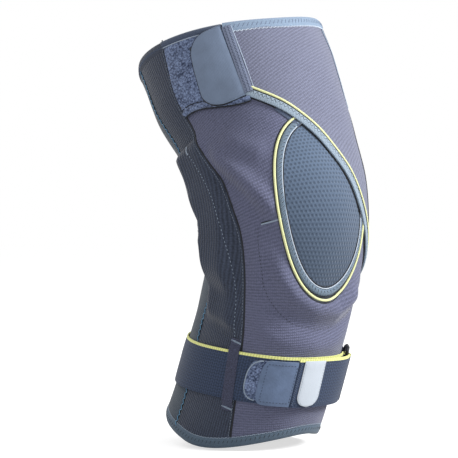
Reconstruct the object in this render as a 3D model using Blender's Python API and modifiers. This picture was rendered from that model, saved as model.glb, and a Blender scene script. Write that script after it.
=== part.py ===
"""Hinged knee brace for a right leg, drawn on the bent leg that it fits.

The origin is the centre of the knee: +X points to the inner (medial) side, +Y backwards, +Z up.
A place on the brace is (angle, along, lift): degrees round the leg from the front, negative on the outer
(lateral) side; millimetres along the leg's axis from the knee, positive up the thigh; and millimetres
out from the skin. Lengths are in millimetres until a mesh is made, which is in metres.
"""
import math

import bmesh
import bpy
import numpy as np
from mathutils import Matrix, Vector

MM = 0.001

# The leg inside the brace: its form is measured over the base cloth, and the skin lies SKIN_INSET under it.
THIGH_TILT = 28.4
CALF_TILT = -20.3
BEND_REACH = 55.0
STATIONS = [-180, -120, -70, -20, 30, 80, 120, 175]
HALF_WIDTH = [56.5, 51.5, 51.5, 55.5, 61.5, 62.5, 69.0, 69.5]
FRONT_DEPTH = [49.0, 58.5, 56.5, 51.5, 55.5, 66.0, 69.0, 70.0]
BACK_DEPTH = [64.5, 62.5, 58.0, 57.5, 57.5, 62.5, 70.5, 73.0]
SKIN_INSET = 1.5
KNEECAP = {"angle": -6.0, "along": 8.0, "height": 7.0, "spread_deg": 30.0, "spread_mm": 32.0}

# Layers: the lift of each inner face and each thickness.
BASE_LIFT, BASE_THICK = 0.3, 1.6
SECOND_LIFT, SECOND_THICK = 2.8, 1.4
HOOK_LIFT, HOOK_THICK = 4.6, 0.8
TAB_LIFT, TAB_THICK = 5.8, 1.2
SEAM_GAP = 0.35
SEAM_GAP_DEG = 0.55

# Heights of the cuts and edges along the leg.
FRONT_TOP_SPLIT = 72.0
FRONT_LOW_SPLIT = -62.0
SIDE_SPLIT = 45.0
BACK_SPLIT = 85.0
SPLIT_GAP = 0.35
BINDING_WIDTH = 8.0
UNDERLAP_END = 10.0
WRAP_EDGE_START = -47.0
TAB_FOLD = -48.2

# The oval opening over the kneecap: centre and half sizes.
OVAL_CENTRE = (-9.0, 11.0)
OVAL_HALF = (41.0, 49.0)
OVAL_POINTS = 32

# Calf strap.
STRAP_WIDTH = 38.0
STRAP_TURN_ANGLE = 38.0
RING_BAR = 1.4
LOOP_FIELD_LIFT, LOOP_FIELD_THICK = 4.9, 1.0
STRAP_HOOK_LIFT, STRAP_TAB_LIFT = 6.3, 7.5
TAIL_LIFT = 6.9

# Hinges: two meshed arms between two plates on each side.
HINGE_Y = 12.0
HINGE_TILT = 4.05
AXIS_OFFSET = 8.0
ARM_WIDTH = 11.0
ARM_LENGTH = 55.0
ARM_THICK = 1.6
ARM_LEVEL = 63.5
PLATE_THICK = 0.8
PLATE_HALF_WIDTH = 8.4
PLATE_LEVELS = (62.0, 65.0)
UPPER_ARM_TILT = 30.0
LOWER_ARM_TILT = 5.0
LOWER_ARM_STEP = -9.0
UPPER_ARM_STEP = 0.4
TEETH = 14
RIVET_RADIUS = 1.7
RIVET_HOLE = 2.05
RIVET_HEAD = 3.4
POCKET_THICK = 1.2
POCKET_CLEAR = 66.9
POCKET_TOP = 70.0
POCKET_BOTTOM = -76.0

COLOURS = {
    "mauve_knit": (0.13, 0.115, 0.15, 0.9),
    "charcoal_knit": (0.045, 0.05, 0.062, 0.92),
    "teal_knit": (0.075, 0.1, 0.12, 0.85),
    "slate_tape": (0.16, 0.2, 0.25, 0.85),
    "slate_tab": (0.1, 0.13, 0.18, 0.75),
    "loop_pile": (0.1, 0.125, 0.17, 1.0),
    "hook_pile": (0.05, 0.06, 0.08, 0.7),
    "kneecap_knit": (0.065, 0.09, 0.13, 0.85),
    "yellow_piping": (0.68, 0.66, 0.3, 0.7),
    "navy_webbing": (0.035, 0.05, 0.085, 0.8),
    "dark_tape": (0.03, 0.03, 0.045, 0.85),
    "tag_cloth": (0.75, 0.76, 0.74, 0.8),
    "silicone": (0.25, 0.27, 0.3, 0.45),
    "ring_plastic": (0.02, 0.02, 0.025, 0.4),
    "splint_metal": (0.6, 0.61, 0.63, 0.35),
}
METALS = ("splint_metal",)


# ---------------------------------------------------------------- the leg's form

def smooth(t):
    """Ease from 0 to 1."""
    t = min(max(t, 0.0), 1.0)
    return t * t * (3 - 2 * t)


def monotone_slopes(xs, ys):
    """Slopes of a curve through the points that never overshoots them."""
    steps = np.diff(ys) / np.diff(xs)
    slopes = np.zeros(len(xs))
    slopes[0], slopes[-1] = steps[0], steps[-1]
    for i in range(1, len(xs) - 1):
        a, b = steps[i - 1], steps[i]
        slopes[i] = 2 * a * b / (a + b) if a * b > 0 else 0.0
    return slopes


def through(xs, ys, x):
    """The value at x of a smooth curve through the points, level beyond its ends."""
    xs, ys = np.asarray(xs, float), np.asarray(ys, float)
    slopes = monotone_slopes(xs, ys)
    x = min(max(x, xs[0]), xs[-1])
    i = min(int(np.searchsorted(xs, x, side="right")) - 1, len(xs) - 2)
    width = xs[i + 1] - xs[i]
    t = (x - xs[i]) / width
    ends = (2 * t**3 - 3 * t**2 + 1) * ys[i] + (3 * t**2 - 2 * t**3) * ys[i + 1]
    turns = (t**3 - 2 * t**2 + t) * slopes[i] + (t**3 - t**2) * slopes[i + 1]
    return float(ends + turns * width)


def tilt(along):
    """How far the leg's axis leans back there, in radians."""
    share = smooth((along + BEND_REACH) / (2 * BEND_REACH))
    return math.radians(CALF_TILT + (THIGH_TILT - CALF_TILT) * share)


def centre_line():
    """The leg's axis in the Y-Z plane at every millimetre along it."""
    reach = 260
    points = {0: (0.0, 0.0)}
    for i in range(reach):
        up, down = tilt(i + 0.5), tilt(-i - 0.5)
        y, z = points[i]
        points[i + 1] = (y + math.sin(up), z + math.cos(up))
        y, z = points[-i]
        points[-i - 1] = (y - math.sin(down), z - math.cos(down))
    return points


CENTRE_LINE = centre_line()


def axis_point(along):
    low = math.floor(along)
    (y0, z0), (y1, z1) = CENTRE_LINE[low], CENTRE_LINE[low + 1]
    t = along - low
    return y0 + (y1 - y0) * t, z0 + (z1 - z0) * t


def radius(angle, along):
    """From the leg's axis to the skin."""
    turn = math.radians(angle)
    depth = FRONT_DEPTH if math.cos(turn) > 0 else BACK_DEPTH
    a, b = through(STATIONS, depth, along), through(STATIONS, HALF_WIDTH, along)
    power = 2.15 + 0.35 * math.exp(-((along / 75) ** 2))
    sides = (abs(math.cos(turn)) / a) ** power + (abs(math.sin(turn)) / b) ** power
    off = (angle - KNEECAP["angle"] + 180) % 360 - 180
    bump = (off / KNEECAP["spread_deg"]) ** 2 + ((along - KNEECAP["along"]) / KNEECAP["spread_mm"]) ** 2
    return sides ** (-1 / power) + KNEECAP["height"] * math.exp(-bump)


def place(angle, along, lift):
    """The point at (angle, along, lift), in metres."""
    reach = radius(angle, along) - SKIN_INSET + lift
    turn, lean = math.radians(angle), tilt(along)
    y, z = axis_point(along)
    forward = reach * math.cos(turn)
    return Vector((reach * math.sin(turn), y - math.cos(lean) * forward, z + math.sin(lean) * forward)) * MM


# ---------------------------------------------------------------- edges and seams

def top_edge(angle):
    off = abs((angle + 15 + 180) % 360 - 180)
    return 137 + 26 * smooth(off / 115)


def bottom_edge(angle):
    off = abs((angle - 4 + 180) % 360 - 180)
    return -142 - 29 * smooth(off / 100)


def front_seam(along):
    """Angle of the seam between front and side panels, on the medial side."""
    return -through([-155, -75, -30, 20, 95, 155], [-54, -65, -75, -84, -95, -88], along)


def rear_seam(along):
    """Angle of the seam between side and back panels, on the medial side."""
    return -through([-150, -87, -35, 0, 50, 155], [-110, -115, -109, -114, -120, -124], along)


def pocket_line(along):
    """Angle of the stitch line along the front of the splint pocket, on the medial side."""
    return -through([-78, -44, -8, 26, 70], [-72, -79, -88, -94, -103], along)


def wrap_edge(angle):
    """The wrap's lower edge, from the tab down to the medial seam."""
    return through([-47, -16, 17, 50, 88], [81, 48, 12, -22, -58], angle)


def strap_middle(angle):
    return -97 - 28 * math.sin(math.radians(angle) / 2) ** 2


def oval(turn, grow):
    """A point of the oval edge, moved out by grow millimetres."""
    scale = 1 + grow / OVAL_HALF[1]
    return (OVAL_CENTRE[0] + OVAL_HALF[0] * scale * math.cos(turn),
            OVAL_CENTRE[1] + OVAL_HALF[1] * scale * math.sin(turn))


# ---------------------------------------------------------------- mesh helpers

def new_collection(name):
    collection = bpy.data.collections.new(name)
    bpy.context.scene.collection.children.link(collection)
    return collection


def material(slot):
    found = bpy.data.materials.get(slot)
    if found:
        return found
    red, green, blue, rough = COLOURS[slot]
    made = bpy.data.materials.new(slot)
    made.use_nodes = True
    shader = made.node_tree.nodes["Principled BSDF"]
    shader.inputs["Base Color"].default_value = (red, green, blue, 1)
    shader.inputs["Roughness"].default_value = rough
    shader.inputs["Metallic"].default_value = 1.0 if slot in METALS else 0.0
    made.diffuse_color = (red, green, blue, 1)
    return made


def add_object(name, data, slot):
    made = bpy.data.objects.new(name, data)
    data.materials.append(material(slot))
    BRACE.objects.link(made)
    return made


def solidify(made, thickness, offset=1.0):
    shell = made.modifiers.new("thickness", "SOLIDIFY")
    shell.thickness = thickness * MM
    shell.offset = offset
    shell.use_even_offset = True
    return made


def sheet(name, rows, slot, thickness, closed=False, capped=False):
    """A cloth panel: rows of points from bottom to top, each from lateral to medial, given a thickness."""
    mesh = bmesh.new()
    made = [[mesh.verts.new(p) for p in row] for row in rows]
    count = len(rows[0])
    for low, high in zip(made, made[1:]):
        for i in range(count if closed else count - 1):
            j = (i + 1) % count
            mesh.faces.new((low[i], low[j], high[j], high[i]))
    if capped:
        mesh.faces.new(made[-1])
    data = bpy.data.meshes.new(name)
    mesh.to_mesh(data)
    mesh.free()
    return solidify(add_object(name, data, slot), thickness)


def panel(name, slot, left, right, bottom, top, lift, thickness, columns, rows):
    """A panel between two seams (angle as a function of along) and two edges (along as a function of angle)."""
    grid = []
    for r in range(rows + 1):
        line = []
        for c in range(columns + 1):
            u, v = c / columns, r / rows
            angle, along = left(0) * (1 - u) + right(0) * u, 0.0
            for _ in range(4):
                along = bottom(angle) * (1 - v) + top(angle) * v
                angle = left(along) * (1 - u) + right(along) * u
            out = lift(angle, along) if callable(lift) else lift
            line.append(place(angle, along, out))
        grid.append(line)
    return sheet(name, grid, slot, thickness)


def oval_ring(name, slot, inner, outer, lift, thickness, rows):
    """A ring between two closed outlines, both functions of the turn round the oval's centre."""
    grid = []
    for r in range(rows + 1):
        line = []
        for i in range(OVAL_POINTS):
            turn = 2 * math.pi * i / OVAL_POINTS
            (a0, s0), (a1, s1) = outer(turn), inner(turn)
            t = r / rows
            line.append(place(a0 + (a1 - a0) * t, s0 + (s1 - s0) * t, lift))
        grid.append(line)
    return sheet(name, grid, slot, thickness, closed=True)


def both_sides():
    """Name and sign of each side: the medial side is at positive angles and positive X."""
    return (("lateral", -1), ("medial", 1))


def at(value):
    return lambda _: value


def seam(curve, sign, inset=0.0):
    """A seam's angle on one side; inset is in degrees, towards the front."""
    return lambda along: sign * (curve(along) - inset)


# ---------------------------------------------------------------- the sleeve's panels


def front_panel():
    left, right = seam(front_seam, -1, SEAM_GAP_DEG), seam(front_seam, 1, SEAM_GAP_DEG)
    panel("lateral_front_panel_thigh", "mauve_knit", left, at(UNDERLAP_END), at(FRONT_TOP_SPLIT + SPLIT_GAP),
          lambda a: top_edge(a) - BINDING_WIDTH - SPLIT_GAP, BASE_LIFT, BASE_THICK, 10, 4)
    panel("front_panel_calf", "mauve_knit", left, right,
          lambda a: bottom_edge(a) + BINDING_WIDTH + SPLIT_GAP,
          at(FRONT_LOW_SPLIT - SPLIT_GAP), BASE_LIFT, BASE_THICK, 13, 5)
    oval_ring("front_panel_knee", "mauve_knit", lambda t: oval(t, SEAM_GAP),
              lambda t: knee_outline(t, left, right), BASE_LIFT, BASE_THICK, 4)


def knee_outline(turn, left, right):
    """Where a ray from the oval's centre meets the edge of the knee section of the front panel."""
    low, high = FRONT_LOW_SPLIT + SPLIT_GAP, FRONT_TOP_SPLIT - SPLIT_GAP
    inside, reach = True, 1.0
    while inside:
        reach += 0.02
        angle = OVAL_CENTRE[0] + OVAL_HALF[0] * reach * math.cos(turn)
        along = OVAL_CENTRE[1] + OVAL_HALF[1] * reach * math.sin(turn)
        inside = left(along) < angle < right(along) and low < along < high
    along = min(max(along, low), high)
    return min(max(angle, left(along)), right(along)), along


def side_panels():
    for side, sign in both_sides():
        edges = [seam(front_seam, sign, -SEAM_GAP_DEG), seam(rear_seam, sign, SEAM_GAP_DEG)]
        left, right = edges if sign > 0 else edges[::-1]
        spans = (("thigh", at(SIDE_SPLIT + SPLIT_GAP), lambda a: top_edge(a) - BINDING_WIDTH - SPLIT_GAP, 6),
                 ("knee", at(-SIDE_SPLIT + SPLIT_GAP), at(SIDE_SPLIT - SPLIT_GAP), 6),
                 ("calf", lambda a: bottom_edge(a) + BINDING_WIDTH + SPLIT_GAP,
                  at(-SIDE_SPLIT - SPLIT_GAP), 7))
        for part, low, high, rows in spans:
            panel(f"{side}_side_panel_{part}", "charcoal_knit", left, right, low, high,
                  BASE_LIFT, BASE_THICK, 4, rows)


def back_panel():
    left = seam(rear_seam, 1, -SEAM_GAP_DEG)

    def right(along):
        return 360 - rear_seam(along) - SEAM_GAP_DEG

    panel("back_panel_thigh", "teal_knit", left, right, at(BACK_SPLIT + SPLIT_GAP),
          lambda a: top_edge(a) - BINDING_WIDTH - SPLIT_GAP, BASE_LIFT, BASE_THICK, 13, 5)
    panel("popliteal_panel", "teal_knit", left, right, at(-BACK_SPLIT + SPLIT_GAP),
          at(BACK_SPLIT - SPLIT_GAP), BASE_LIFT, BASE_THICK, 13, 10)
    panel("back_panel_calf", "teal_knit", left, right, lambda a: bottom_edge(a) + BINDING_WIDTH + SPLIT_GAP,
          at(-BACK_SPLIT - SPLIT_GAP), BASE_LIFT, BASE_THICK, 13, 5)


def bindings():
    panel("top_binding", "slate_tape", at(90 - 360 + 2), at(UNDERLAP_END), lambda a: top_edge(a) - BINDING_WIDTH,
          top_edge, BASE_LIFT, BASE_THICK + 0.4, 28, 1)
    rows = [[place(a, bottom_edge(a) + up, BASE_LIFT) for a in np.arange(-180, 180, 10)]
            for up in (0, BINDING_WIDTH)]
    sheet("bottom_binding", rows, "slate_tape", BASE_THICK + 0.4, closed=True)


def kneecap():
    oval_ring("oval_binding", "slate_tape", lambda t: oval(t, -7), lambda t: oval(t, -2 - SEAM_GAP),
              BASE_LIFT, BASE_THICK + 0.1, 1)
    oval_ring("oval_piping", "yellow_piping", lambda t: oval(t, -2 + SEAM_GAP), lambda t: oval(t, -SEAM_GAP),
              BASE_LIFT, BASE_THICK + 0.3, 1)
    oval_ring("patella_pad_ring", "silicone", lambda t: oval(t, -12), lambda t: oval(t, 2), -3.2, 2.9, 2)
    rows = [[place(*oval(2 * math.pi * i / OVAL_POINTS, grow), BASE_LIFT) for i in range(OVAL_POINTS)]
            for grow in (-7 - SEAM_GAP, -19, -32, -43)]
    sheet("patella_patch", rows, "kneecap_knit", BASE_THICK - 0.4, closed=True, capped=True)


# ---------------------------------------------------------------- the wrap and its closure

WRAP_SEAM = seam(front_seam, 1, 1.5)

def wrap():
    clear = BINDING_WIDTH + 2.0
    panel("front_wrap_thigh", "mauve_knit", at(WRAP_EDGE_START), WRAP_SEAM,
          lambda a: max(wrap_edge(a) + clear, FRONT_TOP_SPLIT + SPLIT_GAP),
          lambda a: top_edge(a) - BINDING_WIDTH - SPLIT_GAP, SECOND_LIFT, SECOND_THICK, 14, 5)
    panel("front_wrap_knee", "mauve_knit", at(-22), WRAP_SEAM, lambda a: wrap_edge(a) + clear,
          at(FRONT_TOP_SPLIT - SPLIT_GAP), SECOND_LIFT, SECOND_THICK, 14, 8)
    panel("wrap_top_binding", "slate_tape", at(WRAP_EDGE_START), WRAP_SEAM,
          lambda a: top_edge(a) - BINDING_WIDTH, top_edge, SECOND_LIFT, SECOND_THICK + 0.2, 14, 1)
    panel("wrap_edge_piping", "yellow_piping", at(WRAP_EDGE_START), WRAP_SEAM,
          lambda a: wrap_edge(a) + BINDING_WIDTH, lambda a: wrap_edge(a) + clear - SEAM_GAP,
          SECOND_LIFT, SECOND_THICK + 0.5, 20, 1)
    panel("wrap_edge_binding", "slate_tape", at(WRAP_EDGE_START), WRAP_SEAM, wrap_edge,
          lambda a: wrap_edge(a) + BINDING_WIDTH - SEAM_GAP, SECOND_LIFT, SECOND_THICK + 0.2, 20, 1)


def closure():
    panel("thigh_loop_patch", "loop_pile", seam(front_seam, -1, -SEAM_GAP_DEG), at(WRAP_EDGE_START - 0.6),
          lambda a: 81 + 16 * smooth((-a - 47) / 45), lambda a: top_edge(a) - 3,
          SECOND_LIFT, SECOND_THICK, 6, 5)
    tab_low = [lambda a: 83 + 9 * smooth((-a - 62) / 12), lambda a: 139 - 12 * smooth((-a - 58) / 15)]
    panel("wrap_tab_hook_field", "hook_pile", at(-70), at(-51), lambda a: tab_low[0](a) + 4,
          lambda a: tab_low[1](a) - 4, HOOK_LIFT, HOOK_THICK, 4, 4)
    panel("wrap_hook_tab", "slate_tab", at(-73.5), at(TAB_FOLD), *tab_low,
          TAB_LIFT, TAB_THICK, 5, 5)
    panel("wrap_seam_strip", "slate_tape", at(TAB_FOLD + 2.2), at(-42.5), lambda a: wrap_edge(a) + 2,
          lambda a: top_edge(a) - BINDING_WIDTH + 1, HOOK_LIFT + 0.5, TAB_THICK, 1, 5)


# ---------------------------------------------------------------- the calf strap

def webbing(name, slot, path, thickness, half_width=STRAP_WIDTH / 2, middle=strap_middle):
    """A flat strap along a path of (angle, lift), level with the strap's middle line."""
    rows = [[place(angle, middle(angle) + side * half_width, lift) for angle, lift in path]
            for side in (-1, -0.33, 0.33, 1)]
    return sheet(name, rows, slot, thickness)


def turn_round(angle, lift, inner, half_turn, out):
    """Path points round a bar, from its inner side to its outer side; out is the side that it turns on."""
    per_degree = math.radians(1) * radius(angle, strap_middle(angle))
    steps = 6
    points = []
    for i in range(steps + 1):
        a = half_turn * (i / steps - 0.5)
        points.append((angle + out * inner * math.cos(a) / per_degree, lift + inner * math.sin(a)))
    return points


RING_LIFT = 6.0
TURN_OUTER = RING_LIFT - SECOND_LIFT
KEEPER_ANGLE = STRAP_TURN_ANGLE + 10.5
KEEPER_LIFT = 5.4


def calf_strap():
    """Sewn down on the medial side, it runs behind the calf to the front and turns back through the ring."""
    start = 66 - 360
    round_leg = [(a, SECOND_LIFT) for a in np.linspace(start, STRAP_TURN_ANGLE - 3, 38)]
    turn = turn_round(STRAP_TURN_ANGLE, RING_LIFT, TURN_OUTER, math.pi, 1)
    webbing("calf_strap", "navy_webbing", round_leg + turn, SECOND_THICK)
    tail = [(a, tail_lift(a)) for a in np.linspace(-19.6, STRAP_TURN_ANGLE - 1.0, 9)]
    webbing("strap_tail", "navy_webbing", tail, SECOND_THICK)
    field = [(a, LOOP_FIELD_LIFT) for a in np.linspace(-55, 0, 8)]
    webbing("strap_loop_patch", "loop_pile", field, LOOP_FIELD_THICK, 13)
    hooks = [(a, STRAP_HOOK_LIFT) for a in np.linspace(-42, -22, 4)]
    webbing("strap_tab_hook_field", "hook_pile", hooks, HOOK_THICK, 15)
    tab = [(a, STRAP_TAB_LIFT) for a in np.linspace(-44.5, -20.2, 5)]
    webbing("strap_hook_tab", "slate_tab", tab, TAB_THICK, 18)
    tag = [(a, TAIL_LIFT + SECOND_THICK + 0.5) for a in np.linspace(-14, 8, 4)]
    webbing("strap_tag", "tag_cloth", tag, 0.7, 17)


def tail_lift(angle):
    return TAIL_LIFT + 0.9 * smooth((angle - 22) / 14)


def ring_and_keeper():
    """The ring that the strap turns round, and the webbing loop that ties it to the sleeve."""
    half = STRAP_WIDTH / 2 + 3.2
    corners = ((STRAP_TURN_ANGLE, RING_LIFT), (KEEPER_ANGLE, KEEPER_LIFT))
    middle = strap_middle(STRAP_TURN_ANGLE)
    points = [place(corners[0][0], middle + half * t, corners[0][1]) for t in (-0.92, 0, 0.92)]
    points += [place(corners[0][0] * 0.7 + corners[1][0] * 0.3, middle + half, RING_LIFT)]
    points += [place(corners[0][0] * 0.3 + corners[1][0] * 0.7, middle + half, KEEPER_LIFT)]
    points += [place(corners[1][0], middle + half * t, corners[1][1]) for t in (0.92, 0, -0.92)]
    points += [place(corners[0][0] * 0.3 + corners[1][0] * 0.7, middle - half, KEEPER_LIFT)]
    points += [place(corners[0][0] * 0.7 + corners[1][0] * 0.3, middle - half, RING_LIFT)]
    wire = bpy.data.curves.new("strap_ring", "CURVE")
    wire.dimensions = "3D"
    wire.bevel_depth = RING_BAR * MM
    wire.bevel_resolution = 2
    line = wire.splines.new("POLY")
    line.points.add(len(points) - 1)
    for point, at_point in zip(line.points, points):
        point.co = (*at_point, 1)
    line.use_cyclic_u = True
    add_object("strap_ring", wire, "ring_plastic")

    outer = RING_BAR + 0.5 + 1.0
    turn = turn_round(KEEPER_ANGLE, KEEPER_LIFT, outer, -math.pi, -1)
    over = [(62, KEEPER_LIFT + outer - 1.2), (56, KEEPER_LIFT + outer - 0.4), (52, KEEPER_LIFT + outer)]
    under = [(52, KEEPER_LIFT - outer), (56, KEEPER_LIFT - outer), (62, KEEPER_LIFT - outer)]
    webbing("ring_keeper_loop", "navy_webbing", over + turn + under, 1.0, 16,
            lambda _: middle)


def belt_loops():
    """Tape loops, sewn down at both ends, that hold the strap at the right height."""
    low, high, half_deg, ramp = -133.0, -78.0, 4.2, 4.5
    for side, sign in both_sides():
        centre = seam(lambda along: 66.5 + 0.12 * (along + 105), sign)

        def lift(_, along):
            end = min(along - low, high - along)
            return 2.3 + 2.6 * smooth((end - 2) / ramp)

        loop = panel(f"{side}_belt_loop", "dark_tape", lambda s, c=centre: c(s) - half_deg,
                     lambda s, c=centre: c(s) + half_deg, at(low), at(high), lift, 1.0, 2, 14)
        loop.modifiers["thickness"].use_even_offset = False


# ---------------------------------------------------------------- the hinged splints

def hinge_axis(up):
    """Y and Z of the upper (up=1) or lower (up=-1) pivot."""
    lean = math.radians(HINGE_TILT)
    return HINGE_Y + up * AXIS_OFFSET * math.sin(lean), up * AXIS_OFFSET * math.cos(lean)


def arm_tilt(up):
    return math.radians(UPPER_ARM_TILT if up > 0 else 180 - LOWER_ARM_TILT)


def arm_level(up, distance):
    """How far from the middle plane the arm's centre lies, at a distance from its pivot."""
    step = UPPER_ARM_STEP if up > 0 else LOWER_ARM_STEP
    return ARM_LEVEL + step * smooth((distance - 12) / 30)


def arm_gear(up):
    """The toothed round end of an arm: points in the plate's frame, which turns with the mid plane.

    The teeth are spread over the side that faces the other arm. One arm has a tooth on the line between
    the pivots and the other a gap, so they are in mesh.
    """
    module = 2 * AXIS_OFFSET / TEETH
    root, tip = AXIS_OFFSET - 1.15 * module, AXIS_OFFSET + 0.8 * module
    pitch = 2 * math.pi / TEETH
    offsets = [k for k in range(-2, 3)] if up > 0 else [k + 0.5 for k in range(-3, 3)]
    points = []
    for k in offsets:
        for share, reach in ((-0.29, root), (-0.2, AXIS_OFFSET), (-0.1, tip),
                             (0.1, tip), (0.2, AXIS_OFFSET), (0.29, root)):
            points.append(((k + share) * pitch, reach))
    return points, root


def arm(side, sign, up):
    """A flat arm: a geared head on its pivot, then a blade along the limb."""
    pivot = hinge_axis(up)
    lean = arm_tilt(up)
    blade = Vector((math.sin(lean), math.cos(lean)))
    across = Vector((blade.y, -blade.x))
    facing = math.radians(HINGE_TILT) + (math.pi if up > 0 else 0)
    teeth, root = arm_gear(up)
    neck = 9.5
    half = ARM_WIDTH / 2

    def spot(yz, level):
        return Vector((sign * level, pivot[0] + yz[0], pivot[1] + yz[1])) * MM

    head = [(reach * math.sin(facing + turn), reach * math.cos(facing + turn)) for turn, reach in teeth]
    corner = [blade * neck - across * half, blade * neck + across * half]
    shoulder = [blade * 2 - across * root, blade * 2 + across * root]
    # The head runs round by way of its teeth, from one shoulder to the other.
    if (Vector(head[0]) - shoulder[0]).length > (Vector(head[-1]) - shoulder[0]).length:
        head.reverse()
    ring = [corner[0], shoulder[0], *head, shoulder[1], corner[1]]
    mesh = bmesh.new()
    verts = [mesh.verts.new(spot(yz, ARM_LEVEL)) for yz in ring]
    faces = [mesh.faces.new(verts)]
    last = (verts[0], verts[-1])
    stations = list(np.linspace(15, ARM_LENGTH - half, 6))
    stations += [ARM_LENGTH - half + half * math.sin(a) for a in (0.5, 1.0, 1.35)]
    for distance in stations:
        over = max(distance - (ARM_LENGTH - half), 0.0)
        width = math.sqrt(max(half**2 - over**2, 0.0))
        level = arm_level(up, distance)
        pair = [mesh.verts.new(spot(blade * distance + across * w, level)) for w in (-width, width)]
        faces.append(mesh.faces.new((last[0], last[1], pair[1], pair[0])))
        last = pair
    bmesh.ops.recalc_face_normals(mesh, faces=faces)
    word = "upper" if up > 0 else "lower"
    data = bpy.data.meshes.new(f"{side}_{word}_arm")
    mesh.to_mesh(data)
    mesh.free()
    made = solidify(add_object(data.name, data, "splint_metal"), ARM_THICK, 0.0)
    hole = made.modifiers.new("rivet_hole", "BOOLEAN")
    hole.operation = "DIFFERENCE"
    hole.object = hole_cutter(f"{side}_{word}_hole", sign, pivot)
    return made


def hole_cutter(name, sign, pivot):
    bpy.ops.mesh.primitive_cylinder_add(vertices=20, radius=RIVET_HOLE * MM, depth=10 * MM,
                                        location=Vector((sign * ARM_LEVEL, *pivot)) * MM,
                                        rotation=(0, math.pi / 2, 0))
    cutter = bpy.context.object
    cutter.name = name
    cutter.hide_render = True
    cutter.display_type = "WIRE"
    for owner in list(cutter.users_collection):
        owner.objects.unlink(cutter)
    CUTTERS.objects.link(cutter)
    return cutter


def circle_spline(curve, centre, size, count, start=0.0, sweep=2 * math.pi):
    return [(centre[0] + size * math.cos(start + sweep * i / count),
             centre[1] + size * math.sin(start + sweep * i / count)) for i in range(count)]


def plate(name, sign, level):
    """A stadium-shaped plate with two rivet holes; its outline lies in the Y-Z plane."""
    lean = math.pi / 2 - math.radians(HINGE_TILT)
    ends = [hinge_axis(1), hinge_axis(-1)]
    half = 9
    outline = circle_spline(None, ends[0], PLATE_HALF_WIDTH, half, lean - math.pi / 2, math.pi * 9 / 8)
    outline += circle_spline(None, ends[1], PLATE_HALF_WIDTH, half, lean + math.pi / 2, math.pi * 9 / 8)
    curve = bpy.data.curves.new(name, "CURVE")
    curve.dimensions = "2D"
    curve.fill_mode = "BOTH"
    curve.extrude = PLATE_THICK / 2 * MM
    holes = [circle_spline(None, end, RIVET_HOLE, 16) for end in ends]
    for loop in [outline, *holes]:
        line = curve.splines.new("POLY")
        line.points.add(len(loop) - 1)
        for point, (y, z) in zip(line.points, loop):
            point.co = (y * MM, z * MM, 0, 1)
        line.use_cyclic_u = True
    made = add_object(name, curve, "splint_metal")
    made.matrix_world = Matrix(((0, 0, 1, sign * level * MM), (1, 0, 0, 0), (0, 1, 0, 0), (0, 0, 0, 1)))
    return made


def rivet(name, sign, pivot):
    """A headed pin turned about its axis, which is the hinge axis."""
    inner = PLATE_LEVELS[0] - PLATE_THICK / 2 - 0.3
    outer = PLATE_LEVELS[1] + PLATE_THICK / 2 + 0.3
    profile = [(0, outer + 0.7), (RIVET_HEAD - 0.6, outer + 0.7), (RIVET_HEAD, outer), (RIVET_RADIUS, outer),
               (RIVET_RADIUS, inner), (RIVET_HEAD, inner), (RIVET_HEAD - 0.6, inner - 0.6), (0, inner - 0.6)]
    mesh = bmesh.new()
    verts = [mesh.verts.new(Vector((r, 0, level)) * MM) for r, level in profile]
    for a, b in zip(verts, verts[1:]):
        mesh.edges.new((a, b))
    data = bpy.data.meshes.new(name)
    mesh.to_mesh(data)
    mesh.free()
    made = add_object(name, data, "splint_metal")
    spin = made.modifiers.new("turn", "SCREW")
    spin.steps = spin.render_steps = 16
    spin.use_merge_vertices = True
    spin.merge_threshold = 0.00001
    made.rotation_euler = (0, sign * math.pi / 2, 0)
    made.location = Vector((0, *pivot)) * MM
    return made


def pocket_lift(angle, along):
    """The lift that carries the pocket's cloth over the arms and the hinge."""
    bare = abs(math.sin(math.radians(angle))) * (radius(angle, along) - SKIN_INSET)
    up = 1 if along > 0 else -1
    past_hinge = smooth((abs(along) - 22) / 14)
    over_arm = arm_level(up, abs(along) - AXIS_OFFSET - 8) + ARM_THICK / 2 + 1.5
    level = POCKET_CLEAR * (1 - past_hinge) + over_arm * past_hinge
    return max((level - bare) / abs(math.sin(math.radians(angle))), SECOND_LIFT)


def pocket_cover(side, sign, part, low, high, rows):
    """The pocket's outer cloth: sewn down at both edges and lifted between them."""
    across = (0.0, 0.11, 0.3, 0.5, 0.7, 0.89, 1.0)
    grid = []
    for r in range(rows + 1):
        along = low + (high - low) * r / rows
        front, rear = pocket_line(along) - 5, rear_seam(along) + 5
        line = []
        for u in across:
            angle = sign * (front + (rear - front) * u)
            raised = pocket_lift(angle, along)
            edge = smooth(min(u, 1 - u) / 0.11)
            line.append(place(angle, along, 2.3 + (raised - 2.3) * edge))
        grid.append(line if sign > 0 else line[::-1])
    sheet(f"{side}_pocket_cover_{part}", grid, "charcoal_knit", POCKET_THICK)


def splints():
    for side, sign in both_sides():
        for up in (1, -1):
            arm(side, sign, up)
            rivet(f"{side}_{'upper' if up > 0 else 'lower'}_rivet", sign, hinge_axis(up))
        for word, level in zip(("inner", "outer"), PLATE_LEVELS):
            plate(f"{side}_hinge_{word}_plate", sign, level)
        pocket_cover(side, sign, "thigh", SIDE_SPLIT + SPLIT_GAP, POCKET_TOP, 3)
        pocket_cover(side, sign, "knee", -SIDE_SPLIT + SPLIT_GAP, SIDE_SPLIT - SPLIT_GAP, 9)
        pocket_cover(side, sign, "calf", POCKET_BOTTOM, -SIDE_SPLIT - SPLIT_GAP, 4)


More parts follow.
